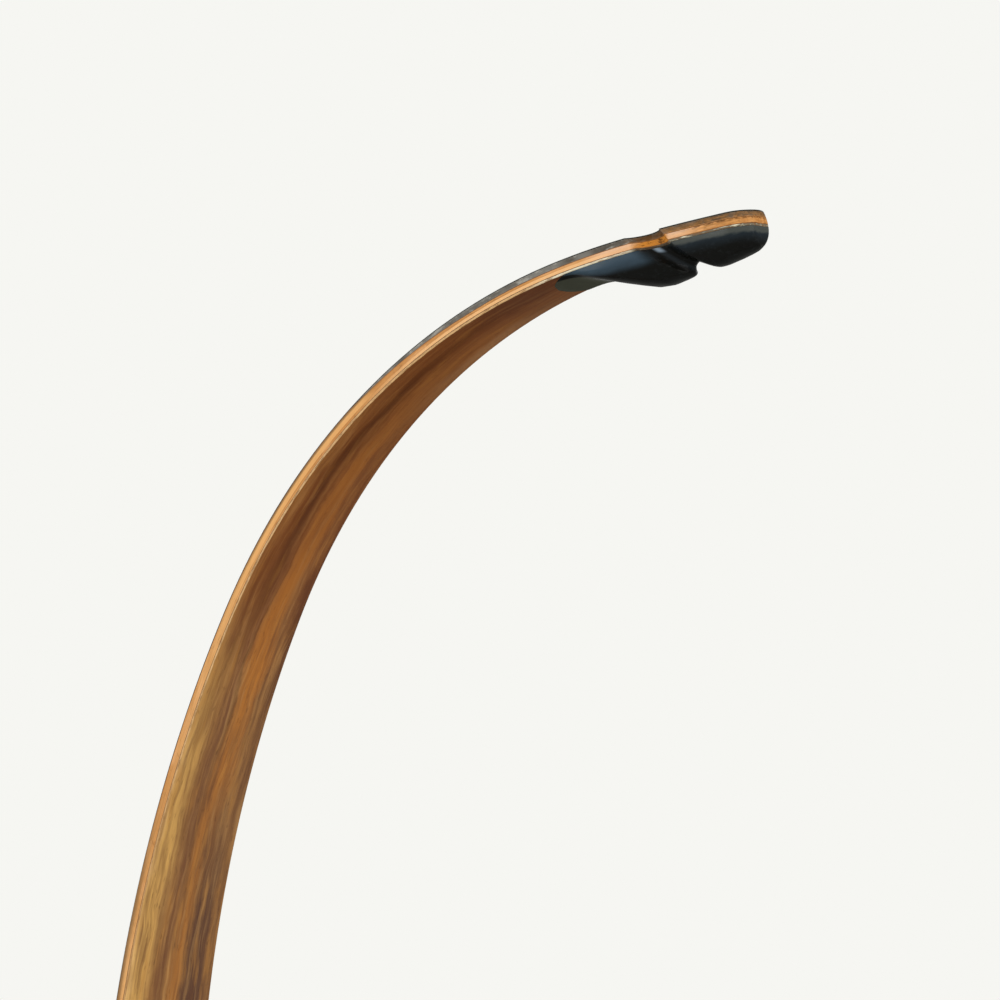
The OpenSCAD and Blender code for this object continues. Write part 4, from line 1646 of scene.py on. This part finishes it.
@dataclass
class Limb:
    """One limb: its laminations, the overlay with the string nock and its bolt."""

    side: Side
    finishes: dict[str, Material]
    shape: LimbShape = LIMB
    back_corner: float = 0.35
    belly_corner: float = 0.25
    crown_points: int = 30
    crown_power: float = 2.1
    shoulder: float = 2.4
    tongue: float = 6.5
    tongue_skew: float = 0.3
    tongue_curve: float = 2.3
    tongue_flare: float = 1.12
    tongue_from: float = 58.0
    shoulder_from: float = 46.0
    shoulder_run: float = 12.0
    corner_steps: int = 3
    nose_marks: tuple[Span, ...] = (
        (0, 0.6), (0.6, 0.655), (2, 0.724), (3.2, 0.78), (6.4, 0.86), (8.3, 0.908),
        (11.2, 0.964), (13.4, 0.996), (15.7, 1), (16.7, 0.974), (17.8, 0.924), (18.9, 0.87),
        (20, 0.815), (21.1, 0.755), (22.2, 0.7), (23.4, 0.665), (24.2, 0.7), (25, 0.8),
        (25.3, 0.93))
    hump_marks: tuple[Span, ...] = (
        (25.9, 0.89), (27, 0.93), (30, 0.97), (35, 1), (39.5, 0.94), (44, 0.8), (49, 0.63),
        (54, 0.44), (59, 0.245), (65, 0.085))
    washer_height: float = 2.0
    bolt_head: float = 7.0
    bolt_shank: float = 3.95
    thread_pitch: float = 1.25
    thread_cut: float = 0.45
    knurl: float = 0.22
    key_radius: float = 3.46
    key_depth: float = 4.0

    def __post_init__(self) -> None:
        """Works out the placing function, the bodies' names, the ridge and the corners."""
        self.point = self.shape.place(self.side)
        self.body = self.side.prefix + "limb"
        self.bolt_body = self.side.prefix + "bolt"
        self.marks = self.profile()
        self.corners = {0: (self.back_corner, 0.0), 7: (0.0, self.belly_corner)}

    def lamination(self, name: str, layer: int, start: float, end: float) -> Piece:
        """Builds a lamination.

        Args:
            name: Name of the piece, without the side.
            layer: Its place in the stack, from 0 at the back.
            start: First station.
            end: Last station.

        Returns:
            The piece.
        """
        shape, skin = self.shape, Skin(self.side.prefix + name)
        for u in shape.stations(start, end):
            top, bottom = shape.depth(u, layer), shape.depth(u, layer + 1)
            right = []
            for h, inset in self.levels(top, bottom, *self.corners.get(layer, (0.0, 0.0))):
                here = shape.slanted(u, h)
                wide = shape.rounded_half(u, here, h)
                right.append((here, -max(wide - inset, 0.02), h, wide))
            ring = right + [(here, -y, h, wide) for here, y, h, wide in reversed(right)]
            skin.ring([self.point(here, y, h) for here, y, h, _ in ring],
                      [(here * MM, y * MM, (h - top) * MM) for here, y, h, _ in ring],
                      [y / wide for _, y, _, wide in ring])
        return skin.build(35.0)

    def levels(self, top: float, bottom: float, round_back: float,
               round_belly: float) -> list[Span]:
        """Works out the levels down a side.

        Args:
            top: Depth of its upper edge.
            bottom: Depth of its lower edge.
            round_back: Radius of the upper corner.
            round_belly: Radius of the lower corner.

        Returns:
            Depths from the top, each with how far the rounding stands in there.
        """
        turns = [math.pi / 2 * i / self.corner_steps for i in range(self.corner_steps + 1)]
        rows = [(top, 0.0)]
        if round_back:
            rows = [(top + round_back * (1 - math.cos(a)), round_back * (1 - math.sin(a)))
                    for a in turns]
        rows += [((top + bottom) / 2 + (round_back - round_belly) / 2, 0.0)]
        if not round_belly:
            return rows + [(bottom, 0.0)]
        return rows + [(bottom - round_belly * (1 - math.sin(a)),
                        round_belly * (1 - math.cos(a))) for a in turns]

    def profile(self) -> list[Span]:
        """The overlay's ridge, with the notch among its marks.

        Returns:
            Each mark's slanted ring, as a distance from the tip, and the ridge's height.
        """
        shape = self.shape
        marks = [(s, share * shape.nose) for s, share in self.nose_marks]
        marks += [(s, share * shape.hump) for s, share in self.hump_marks]
        marks += [(shape.overlay_length, shape.feather)]
        rings = []
        for s, high in marks:
            low, far = 0.0, shape.overlay_length
            for _ in range(40):
                ring = (low + far) / 2
                if shape.length - shape.slanted(shape.length - ring, -high) < s:
                    low = ring
                else:
                    far = ring
            rings.append((ring, high))
        return rings

    def overlay(self) -> Piece:
        """Builds the sculpted overlay that carries the string nock.

        Returns:
            The piece.
        """
        shape, skin = self.shape, Skin(self.side.prefix + "nock_overlay")
        start = shape.length - shape.overlay_length
        for u in shape.stations(start, shape.length):
            s = shape.length - u
            power = self.crown_power + self.shoulder * ease(
                (s - self.shoulder_from) / self.shoulder_run)
            pull = clamp((s - self.tongue_from) / (shape.overlay_length - self.tongue_from))
            crest = max(curve_at(self.marks, s), shape.feather)
            ring, shares = [], []
            for i in range(self.crown_points + 1):
                a = math.pi * i / self.crown_points
                across = math.copysign(abs(math.cos(a)) ** (2 / power), math.cos(a))
                off = abs(across - self.tongue_skew) ** self.tongue_curve
                here = u - pull * self.tongue * (1 - off * self.tongue_flare)
                h = -crest * math.sin(a) ** (2 / power)
                station = shape.slanted(u, h)
                here += station - u
                ring.append((here, shape.rounded_half(u, station, h) * across, h))
                shares.append(across)
            skin.ring([self.point(*p) for p in ring],
                      [(p[0] * MM, p[1] * MM, p[2] * MM) for p in ring], shares)
        return skin.build(50.0)

    def drill_butt(self, piece: Piece, layer: int) -> None:
        """Cuts the bolt's hole and the pins' blind holes in a lamination's butt.

        Args:
            piece: The lamination.
            layer: Its place in the stack, from 0 at the back.
        """
        shape = self.shape
        thick = shape.depth(0.0, 8)
        tools = [shape.drill(self.side, shape.bolt_at, shape.bolt_hole, -thick - 1.0, 1.0)]
        if shape.depth(0.0, layer + 1) > thick - shape.pin_depth:
            tools += [shape.drill(self.side, u, shape.pin_hole, -thick - 1.0,
                                  shape.pin_depth - thick) for u in shape.pins_at]
        inverse = shape.at_butt(self.side, 0.0).inverted()
        top = shape.depth(0.0, layer) * MM

        def locate(spot: Vector) -> tuple[Vector, float] | None:
            """Place and share of a point of the straight butt, or None past it."""
            local = inverse @ spot
            u = abs(local.x)
            if u > (shape.butt_length - 1.0) * MM:
                return None
            return Vector((u, local.y, -local.z - top)), local.y / (
                shape.half_width(u / MM, 0.0) * MM)

        carve(piece, tools, locate)

    def washer(self) -> Piece:
        """Builds the washer under the bolt's head.

        Returns:
            The piece.
        """
        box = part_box(self.side.prefix + "bolt_washer")
        radius = (box[1].y - box[0].y) / 2 / MM
        bore, thick, bevel = self.shape.bolt_hole, self.washer_height, 0.45
        profile = [(bore + 0.2, 0.0), (radius - 0.2, 0.0), (radius, 0.2),
                   (radius, thick - bevel), (radius - 0.15, thick - 0.13),
                   (radius - bevel, thick), (bore + 0.35, thick), (bore, thick - 0.35),
                   (bore, 0.2)]
        return settle(turned(self.side.prefix + "washer", profile, 72),
                      self.shape.at_butt(self.side, self.shape.bolt_at))

    def bolt(self) -> Piece:
        """Builds the limb bolt: a knurled head with a hex key socket, and a threaded shank.

        Returns:
            The piece.
        """
        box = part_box(self.side.prefix + "limb_bolt")
        radius = (box[1].y - box[0].y) / 2 / MM
        seat, shank, key = self.washer_height, self.bolt_shank, self.key_radius
        top = seat + self.bolt_head
        grip = self.shape.depth(0.0, 8)
        reach = grip + self.shape.insert_length - 1.0
        steps = 96

        def hexed(a: float) -> float:
            """The key socket's radius at an angle."""
            turn = (a + math.pi / 6) % (math.pi / 3) - math.pi / 6
            return key * math.cos(math.pi / 6) / math.cos(turn)

        def ridged(a: float) -> float:
            """The head's side, with fine ridges."""
            return radius - self.knurl * (0.5 + 0.5 * math.cos(a * steps / 3))

        rows = [(1.2, -reach), (shank - 1.0, -reach), (shank, 1.0 - reach)]
        for k in range(int((reach - 1.0 - grip) / self.thread_pitch)):
            z = 1.0 - reach + k * self.thread_pitch
            rows += [(shank - self.thread_cut, z + self.thread_pitch * 0.35),
                     (shank - self.thread_cut, z + self.thread_pitch * 0.55),
                     (shank, z + self.thread_pitch * 0.9)]
        rows += [(shank, seat), (radius - 0.5, seat), (radius - 0.2, seat + 0.4),
                 (ridged, seat + 1.2), (ridged, top - 1.8), (radius - 0.2, top - 1.1),
                 (radius - 0.9, top - 0.25), (radius - 1.4, top), (key + 0.9, top),
                 (key + 0.45, top - 0.1), (hexed, top - 0.5), (hexed, top - self.key_depth)]
        skin = Skin(self.side.prefix + "bolt")
        for size, z in rows:
            ring = []
            for i in range(steps):
                a = 2 * math.pi * i / steps
                r = size(a) if callable(size) else size
                ring.append(Vector((r * math.cos(a) * MM, r * math.sin(a) * MM, z * MM)))
            skin.ring(ring, [tuple(p) for p in ring])
        return settle(skin.build(28.0), self.shape.at_butt(self.side, self.shape.bolt_at))

    def build(self) -> None:
        """Builds and dresses every piece of the limb."""
        shape, fin, side = self.shape, self.finishes, self.side.prefix
        end, wedge, tip = shape.length, shape.butt_wedge_end, shape.tip_wedge_start
        rows = (
            ("clear_back", 0.0, end, side + "back", "clear_glass", "back_glass"),
            ("veneer_line", 0.0, end, "dark_line", "back_veneer", "back_veneer"),
            ("back_core_strip", 0.0, end, "back_core", "limb_core", "back_core"),
            ("butt_wedge_block", 0.0, wedge, "butt_wedge", "butt_wedge", "butt_wedge"),
            ("belly_core_strip", 0.0, end, "belly_core", "limb_core", "belly_core"),
            ("pale_line", 0.0, end, "pale_line", "pale_veneer", "belly_veneer"),
            ("grey_wedge_strip", tip, end, "grey_wedge", "grey_wedge", "tip_wedge"),
            ("belly_sheet", 0.0, end, "belly_glass", "dark_glass", "belly_glass"),
        )
        for layer, (name, start, stop, finish, slot, node) in enumerate(rows):
            piece = self.lamination(name, layer, start, stop)
            if start < shape.butt_length:
                self.drill_butt(piece, layer)
            dress(piece, fin[finish], self.body, side + node)
        dress(self.overlay(), fin["overlay"], self.body, side + "tip_overlay")
        steel = fin["black_steel"]
        dress(self.washer(), steel, self.body, side + "bolt_washer")
        dress(self.bolt(), steel, self.bolt_body, side + "limb_bolt")


# Riser


@dataclass
class Riser:
    """The laminated riser: blocks, stripes, bushings, pins and the arrow rest."""

    finishes: dict[str, Material]
    shape: RiserShape = RISER
    step: float = 4.0
    arc_points: int = 26
    tiny: float = 0.05
    blend_to: float = 190.0
    apart: float = 0.8

    def heights(self, start: float, end: float) -> list[float]:
        """Heights of the rings, with the pad's steps and the window's curve among them.

        Args:
            start: First height.
            end: Last height.

        Returns:
            The heights, in order.
        """
        shape, tiny = self.shape, self.tiny
        marks = [start] + evenly(start, end, self.step)
        special = [-shape.step_z - tiny, -shape.step_z, shape.step_z, shape.step_z + tiny,
                   shape.shelf_z - tiny, shape.shelf_z]
        top = shape.length / 2
        special += [sign * (top - shape.end_round * (1 - math.sin(math.radians(15 * k))))
                    for k in range(6) for sign in (1, -1)]
        special += [shape.window_top] + [shape.ramp_z(shape.wall_y + (
            shape.core_y - shape.wall_y) * k / 10) for k in range(1, 11)]
        special = [z for z in special if start < z < end]
        marks = [z for z in marks if z in (start, end)
                 or all(abs(z - m) > self.apart for m in special)]
        return sorted(marks + special)

    def layer(self, name: str, heights: Sequence[float],
              limits: Callable[[float], Span],
              lift: Callable[[float, float], float] | None = None,
              columns: int = 8) -> Piece:
        """Builds a flat-sided layer between two planes across the riser.

        Args:
            name: Name of the piece.
            heights: Heights of the rings.
            limits: Distances across of the layer's two sides at a height.
            lift: Height of a point from its ring's height and its distance across.
            columns: Number of steps across.

        Returns:
            The piece.
        """
        skin = Skin(name)
        for z in heights:
            right, left = limits(z)
            ys = [right + (left - right) * k / columns for k in range(columns + 1)]
            rows = [(y, 1) for y in ys] + [(y, -1) for y in reversed(ys)]
            ring = []
            for y, facing in rows:
                at = lift(z, y) if lift else z
                ring.append((self.shape.x_at(at, y, facing), y, at))
            skin.ring([Vector(p) * MM for p in ring],
                      [(p[2] * MM, p[0] * MM, p[1] * MM) for p in ring])
        return skin.build(35.0)

    def side_block(self, name: str, heights: Sequence[float], sign: int,
                   lift: Callable[[float, float], float] | None = None) -> Piece:
        """Builds a rounded outer block.

        Args:
            name: Name of the piece.
            heights: Heights of the rings.
            sign: 1 for the archer's left and -1 for the right.
            lift: Height of a point from its ring's height and its distance across.

        Returns:
            The piece.
        """
        shape, skin = self.shape, Skin(name)
        for z in heights:
            ring = []
            for j in range(self.arc_points + 1):
                at = z
                for _ in range(4 if lift else 1):
                    x0, x1, e = (shape.value(at, k) for k in (1, 2, 3))
                    width = shape.width(at)
                    start = math.asin(min((shape.stripe_y / width) ** (e / 2), 1.0))
                    a = start + (math.pi - 2 * start) * j / self.arc_points
                    y = width * math.sin(a) ** (2 / e)
                    at = lift(z, y) if lift else z
                push = math.copysign(abs(math.cos(a)) ** (2 / e), math.cos(a))
                x = shape.clipped((x0 + x1) / 2 + (x1 - x0) / 2 * push, at)
                inset = shape.softened(at)
                ring.append((x - math.copysign(inset, push), sign * max(
                    y - inset * math.sin(a), shape.stripe_y), at))
            skin.ring([Vector(p) * MM for p in ring],
                      [(p[2] * MM, p[0] * MM, p[1] * MM) for p in ring])
        return skin.build(35.0)

    def above_window(self, z: float, y: float) -> float:
        """Lifts a point above the window, so that the lowest ring follows its curve.

        Args:
            z: Height of the point's ring.
            y: The point's distance across.

        Returns:
            The point's height.
        """
        shape = self.shape
        low, high = shape.ramp_z(shape.core_y), self.blend_to
        if z >= high:
            return z
        foot = shape.ramp_z(abs(y))
        return foot + (z - low) / (high - low) * (high - foot)

    @staticmethod
    def locate(spot: Vector) -> tuple[Vector, float]:
        """Place of a point in the riser's wood, with its grain upright."""
        return Vector((spot.z, spot.x, spot.y)), 0.0

    def bore(self, radius: float, start: Vector, end: Vector) -> Piece:
        """Makes a round cutting tool.

        Args:
            radius: Its radius.
            start: One end of its axis.
            end: The other end.

        Returns:
            The tool.
        """
        length = (end - start).length
        profile = [(0.0, 0.0), (radius, 0.0), (radius, length), (0.0, length)]
        return settle(turned("bore", profile, 48), self.on_axis(start, end))

    @staticmethod
    def on_axis(start: Vector, end: Vector) -> Matrix:
        """Puts the local Z axis from one point towards another."""
        turn = (end - start).to_track_quat("Z", "Y").to_matrix().to_4x4()
        return Matrix.Translation(start * MM) @ turn

    def bushing(self, name: str, radii: Span, start: Vector, end: Vector) -> Piece:
        """Builds a threaded brass bushing.

        Args:
            name: Name of the piece.
            radii: Outer radius, and radius of the thread.
            start: Inner end of its axis.
            end: Outer end of its axis.

        Returns:
            The piece.
        """
        outer, inner = radii
        length = (end - start).length
        bevel, lead, margin, pitch, cut = 0.3, 0.5, 0.8, 1.06, 0.35
        profile = [(outer, 0.0), (outer, length - bevel), (outer - bevel, length),
                   (inner + lead, length), (inner, length - lead)]
        for k in range(int((length - 2 * margin) / pitch)):
            z = length - margin - k * pitch
            profile += [(inner, z), (inner + cut, z - 0.35 * pitch),
                        (inner + cut, z - 0.5 * pitch), (inner, z - 0.85 * pitch)]
        profile += [(inner, 0.0)]
        return settle(turned(name, profile, 56), self.on_axis(start, end))

    def put(self, piece: Piece, slot: str, node: str) -> None:
        """Dresses a piece of the riser, whose finish has its slot's name."""
        dress(piece, self.finishes[slot], "riser", node)

    def blocks(self) -> None:
        """Builds the seven pieces of laminated wood and bores them."""
        shape = self.shape
        across, ahead, aside = 200.0, 60.0, 40.0
        top, foot = shape.length / 2, shape.ramp_z(shape.core_y)
        full = self.heights(-top, top)
        below = self.heights(-top, shape.shelf_z - self.tiny)
        above = [foot] + evenly(foot, self.blend_to, self.step)
        above += [z for z in self.heights(self.blend_to, top) if z > self.blend_to + 0.5]
        plunger = (shape.bushing_hole, Vector((shape.fittings_x, -across, shape.plunger_z)),
                   Vector((shape.fittings_x, across, shape.plunger_z)))
        seats = [self.bore(shape.bushing_hole,
                           Vector((shape.stabilizer_x[0], 0.0, shape.stabilizer_z)),
                           Vector((ahead, 0.0, shape.stabilizer_z))), self.bore(*plunger)]
        thick = LIMB.depth(0.0, 8)
        for side in Side:
            seats += [LIMB.drill(side, LIMB.bolt_at, LIMB.insert_radius,
                                 -thick - LIMB.insert_length, 1.0)]
            seats += [LIMB.drill(side, u, LIMB.pin_seat, -thick - LIMB.pin_seat_depth, 1.0)
                      for u in LIMB.pins_at]
        core = self.layer("centre_wood", full,
                          lambda z: (-shape.core_y, shape.left_limit(z)))
        carve(core, seats, self.locate)
        self.put(core, "riser_core", "centre_block")
        right = self.layer("right_pale_stripe", full,
                           lambda z: (-shape.stripe_y, -shape.core_y), None, 2)
        carve(right, [self.bore(*plunger)], self.locate)
        self.put(right, "riser_stripe", "right_stripe")
        cheek = self.side_block("right_cheek", full, -1)
        sights = [self.bore(shape.sight_hole, Vector((shape.fittings_x, -aside, z)),
                            Vector((shape.fittings_x, shape.sights_y[0], z)))
                  for z in shape.sights_z]
        carve(cheek, [self.bore(*plunger), *sights], self.locate)
        self.put(cheek, "riser_side", "right_block")
        left = (shape.core_y, shape.stripe_y)
        for part, heights, lift in (("lower_left_", below, None),
                                    ("upper_left_", above, self.above_window)):
            self.put(self.layer(part + "pale_stripe", heights, lambda z: left, lift, 2),
                     "riser_stripe", part + "stripe")
            self.put(self.side_block(part + "cheek", heights, 1, lift), "riser_side",
                     part + "block")

    def fittings(self) -> None:
        """Builds the bushings and dresses the inserts and pins that the frame brings."""
        shape, radii = self.shape, self.shape.bushing_radii
        ends = [Vector((x, 0.0, shape.stabilizer_z)) for x in shape.stabilizer_x]
        self.put(self.bushing("stabilizer_seat", radii, *ends), "brass", "stabilizer_bushing")
        ends = [Vector((shape.fittings_x, y, shape.plunger_z)) for y in shape.plunger_y]
        self.put(self.bushing("plunger_seat", radii, *ends), "brass", "plunger_bushing")
        sights = [self.bushing("sight_seat", shape.sight_radii,
                               *[Vector((shape.fittings_x, y, z)) for y in shape.sights_y])
                  for z in shape.sights_z]
        self.put(join_pieces("sight_seats", sights), "brass", "sight_bushings")
        for side in Side:
            dress_node(side.prefix + "limb_insert", self.finishes["brass"])
            dress_node(side.prefix + "align_pins", self.finishes["pin_steel"])

    def build(self) -> None:
        """Builds and dresses the whole riser, with its soft shelf pad and strike plate."""
        self.blocks()
        self.fittings()
        self.put(cushion("shelf_rest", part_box("arrow_shelf_pad"), 0.9, 2), "shelf_hide",
                 "arrow_shelf_pad")
        self.put(cushion("strike_leather_plate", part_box("strike_plate"), 0.5, 1),
                 "strike_leather", "strike_plate")


# Studio


@dataclass
class Studio:
    """Pale floor, plain soft lamps and the camera at the photograph's angle."""

    background: Colour = rgb(246, 246, 242)
    floor_colour: Colour = rgb(233, 233, 229)
    world_light: Colour = (0.9, 0.95, 1.0)
    world_strength: float = 0.42
    azimuth: float = math.radians(45.15)
    elevation: float = math.radians(0.37)
    distance: float = 0.6766
    target: Place = (0.2165, 0.0, 0.5219)
    lit: Place = (0.2, 0.0, 0.35)
    lens: float = 79.2
    floor_reach: float = 30.0
    shadow_reach: float = 1.6

    def camera(self) -> None:
        """Makes the camera."""
        data = bpy.data.cameras.new("camera")
        data.lens, data.sensor_width = self.lens, 36.0
        data.clip_start, data.clip_end = 0.01, 100.0
        piece = add_object("camera", data)
        back = Vector((math.sin(self.azimuth) * math.cos(self.elevation),
                       -math.cos(self.azimuth) * math.cos(self.elevation),
                       math.sin(self.elevation)))
        piece.location = Vector(self.target) + back * self.distance
        piece.rotation_mode = "QUATERNION"
        piece.rotation_quaternion = (-back).to_track_quat("-Z", "Y")
        bpy.context.scene.camera = piece

    def lamp(self, name: str, place: Place, size: float, power: float,
             colour: Colour) -> None:
        """Makes one soft lamp that faces the bow.

        Args:
            name: Name of the lamp.
            place: Where it hangs, in metres.
            size: Length of its square side, in metres.
            power: Its power in watts.
            colour: Its colour.
        """
        data = bpy.data.lights.new(name, "AREA")
        data.shape, data.size = "SQUARE", size
        data.energy, data.color = power, colour
        piece = add_object(name, data)
        piece.location = place
        piece.rotation_mode = "QUATERNION"
        piece.rotation_quaternion = (Vector(self.lit) - Vector(place)).to_track_quat("-Z", "Y")
        piece.visible_camera = False

    def seen(self, g: Graph) -> Socket:
        """1 for rays that show the background: from the camera, a gloss or clear glass."""
        rays = g.node("ShaderNodeLightPath").outputs
        both = g.math("MAXIMUM", rays["Is Camera Ray"], rays["Is Glossy Ray"])
        return g.math("MAXIMUM", both, rays["Is Transmission Ray"])

    def world(self) -> None:
        """Makes the world: a plain soft light that looks like the pale background."""
        world = bpy.data.worlds.new("studio")
        world.use_nodes = True
        world.node_tree.nodes.clear()
        g = Graph(world.node_tree)
        light = g.step("ShaderNodeBackground", (self.world_light, self.world_strength))
        pale = g.step("ShaderNodeBackground", (self.background, 1.0))
        blend = g.step("ShaderNodeMixShader", (self.seen(g), light, pale))
        g.feed(g.node("ShaderNodeOutputWorld").inputs[0], blend)
        bpy.context.scene.world = world

    def floor(self, level: float) -> None:
        """Makes the floor, plain and pale, which keeps the shadow near the bow.

        Args:
            level: Height of the floor, in metres.
        """
        work = bmesh.new()
        bmesh.ops.create_circle(work, cap_ends=True, radius=self.floor_reach, segments=96)
        piece = add_object("floor", write_out(work, "floor"))
        piece.location.z = level
        g = Paint("Pale floor", False)
        g.wire(g.shader, Base_Color=self.floor_colour, Roughness=0.9, Specular_IOR_Level=0.1)
        glow = g.step("ShaderNodeEmission", (self.background, 1.0))
        length = g.wire(g.node("ShaderNodeVectorMath", operation="LENGTH"),
                        Vector=g.stretch(g.place, (1.0, 1.0, 0.0)))
        far = g.span(length.outputs["Value"], self.shadow_reach * 0.35, self.shadow_reach)
        g.feed(g.surface, g.step("ShaderNodeMixShader", (g.times(far, self.seen(g)),
                                                         g.shader.outputs[0], glow)))
        piece.data.materials.append(g.material)
        piece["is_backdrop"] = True

    def build(self, level: float) -> None:
        """Builds the whole studio round the bow.

        Args:
            level: Height of the floor, in metres.
        """
        scene = bpy.context.scene
        scene.view_settings.view_transform = "Standard"
        self.camera()
        self.world()
        self.floor(level)
        self.lamp("left_lamp", (-1.5, -1.9, 0.85), 0.9, 30.0, (0.97, 0.98, 1.0))
        self.lamp("right_lamp", (2.4, -0.9, 1.5), 2.2, 52.0, (1.0, 0.98, 0.96))
        self.lamp("back_lamp", (-0.8, 2.6, 1.6), 2.8, 34.0, (0.95, 0.97, 1.0))


def main() -> None:
    """Builds the bow and its studio, in order."""
    logging.basicConfig(level=logging.INFO, format="%(name)s: %(message)s")
    finishes = make_finishes()
    for side in Side:
        Limb(side, finishes).build()
    Riser(finishes).build()
    Studio().build(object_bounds()[0].z - 0.002)


if __name__ == "__main__":
    main()
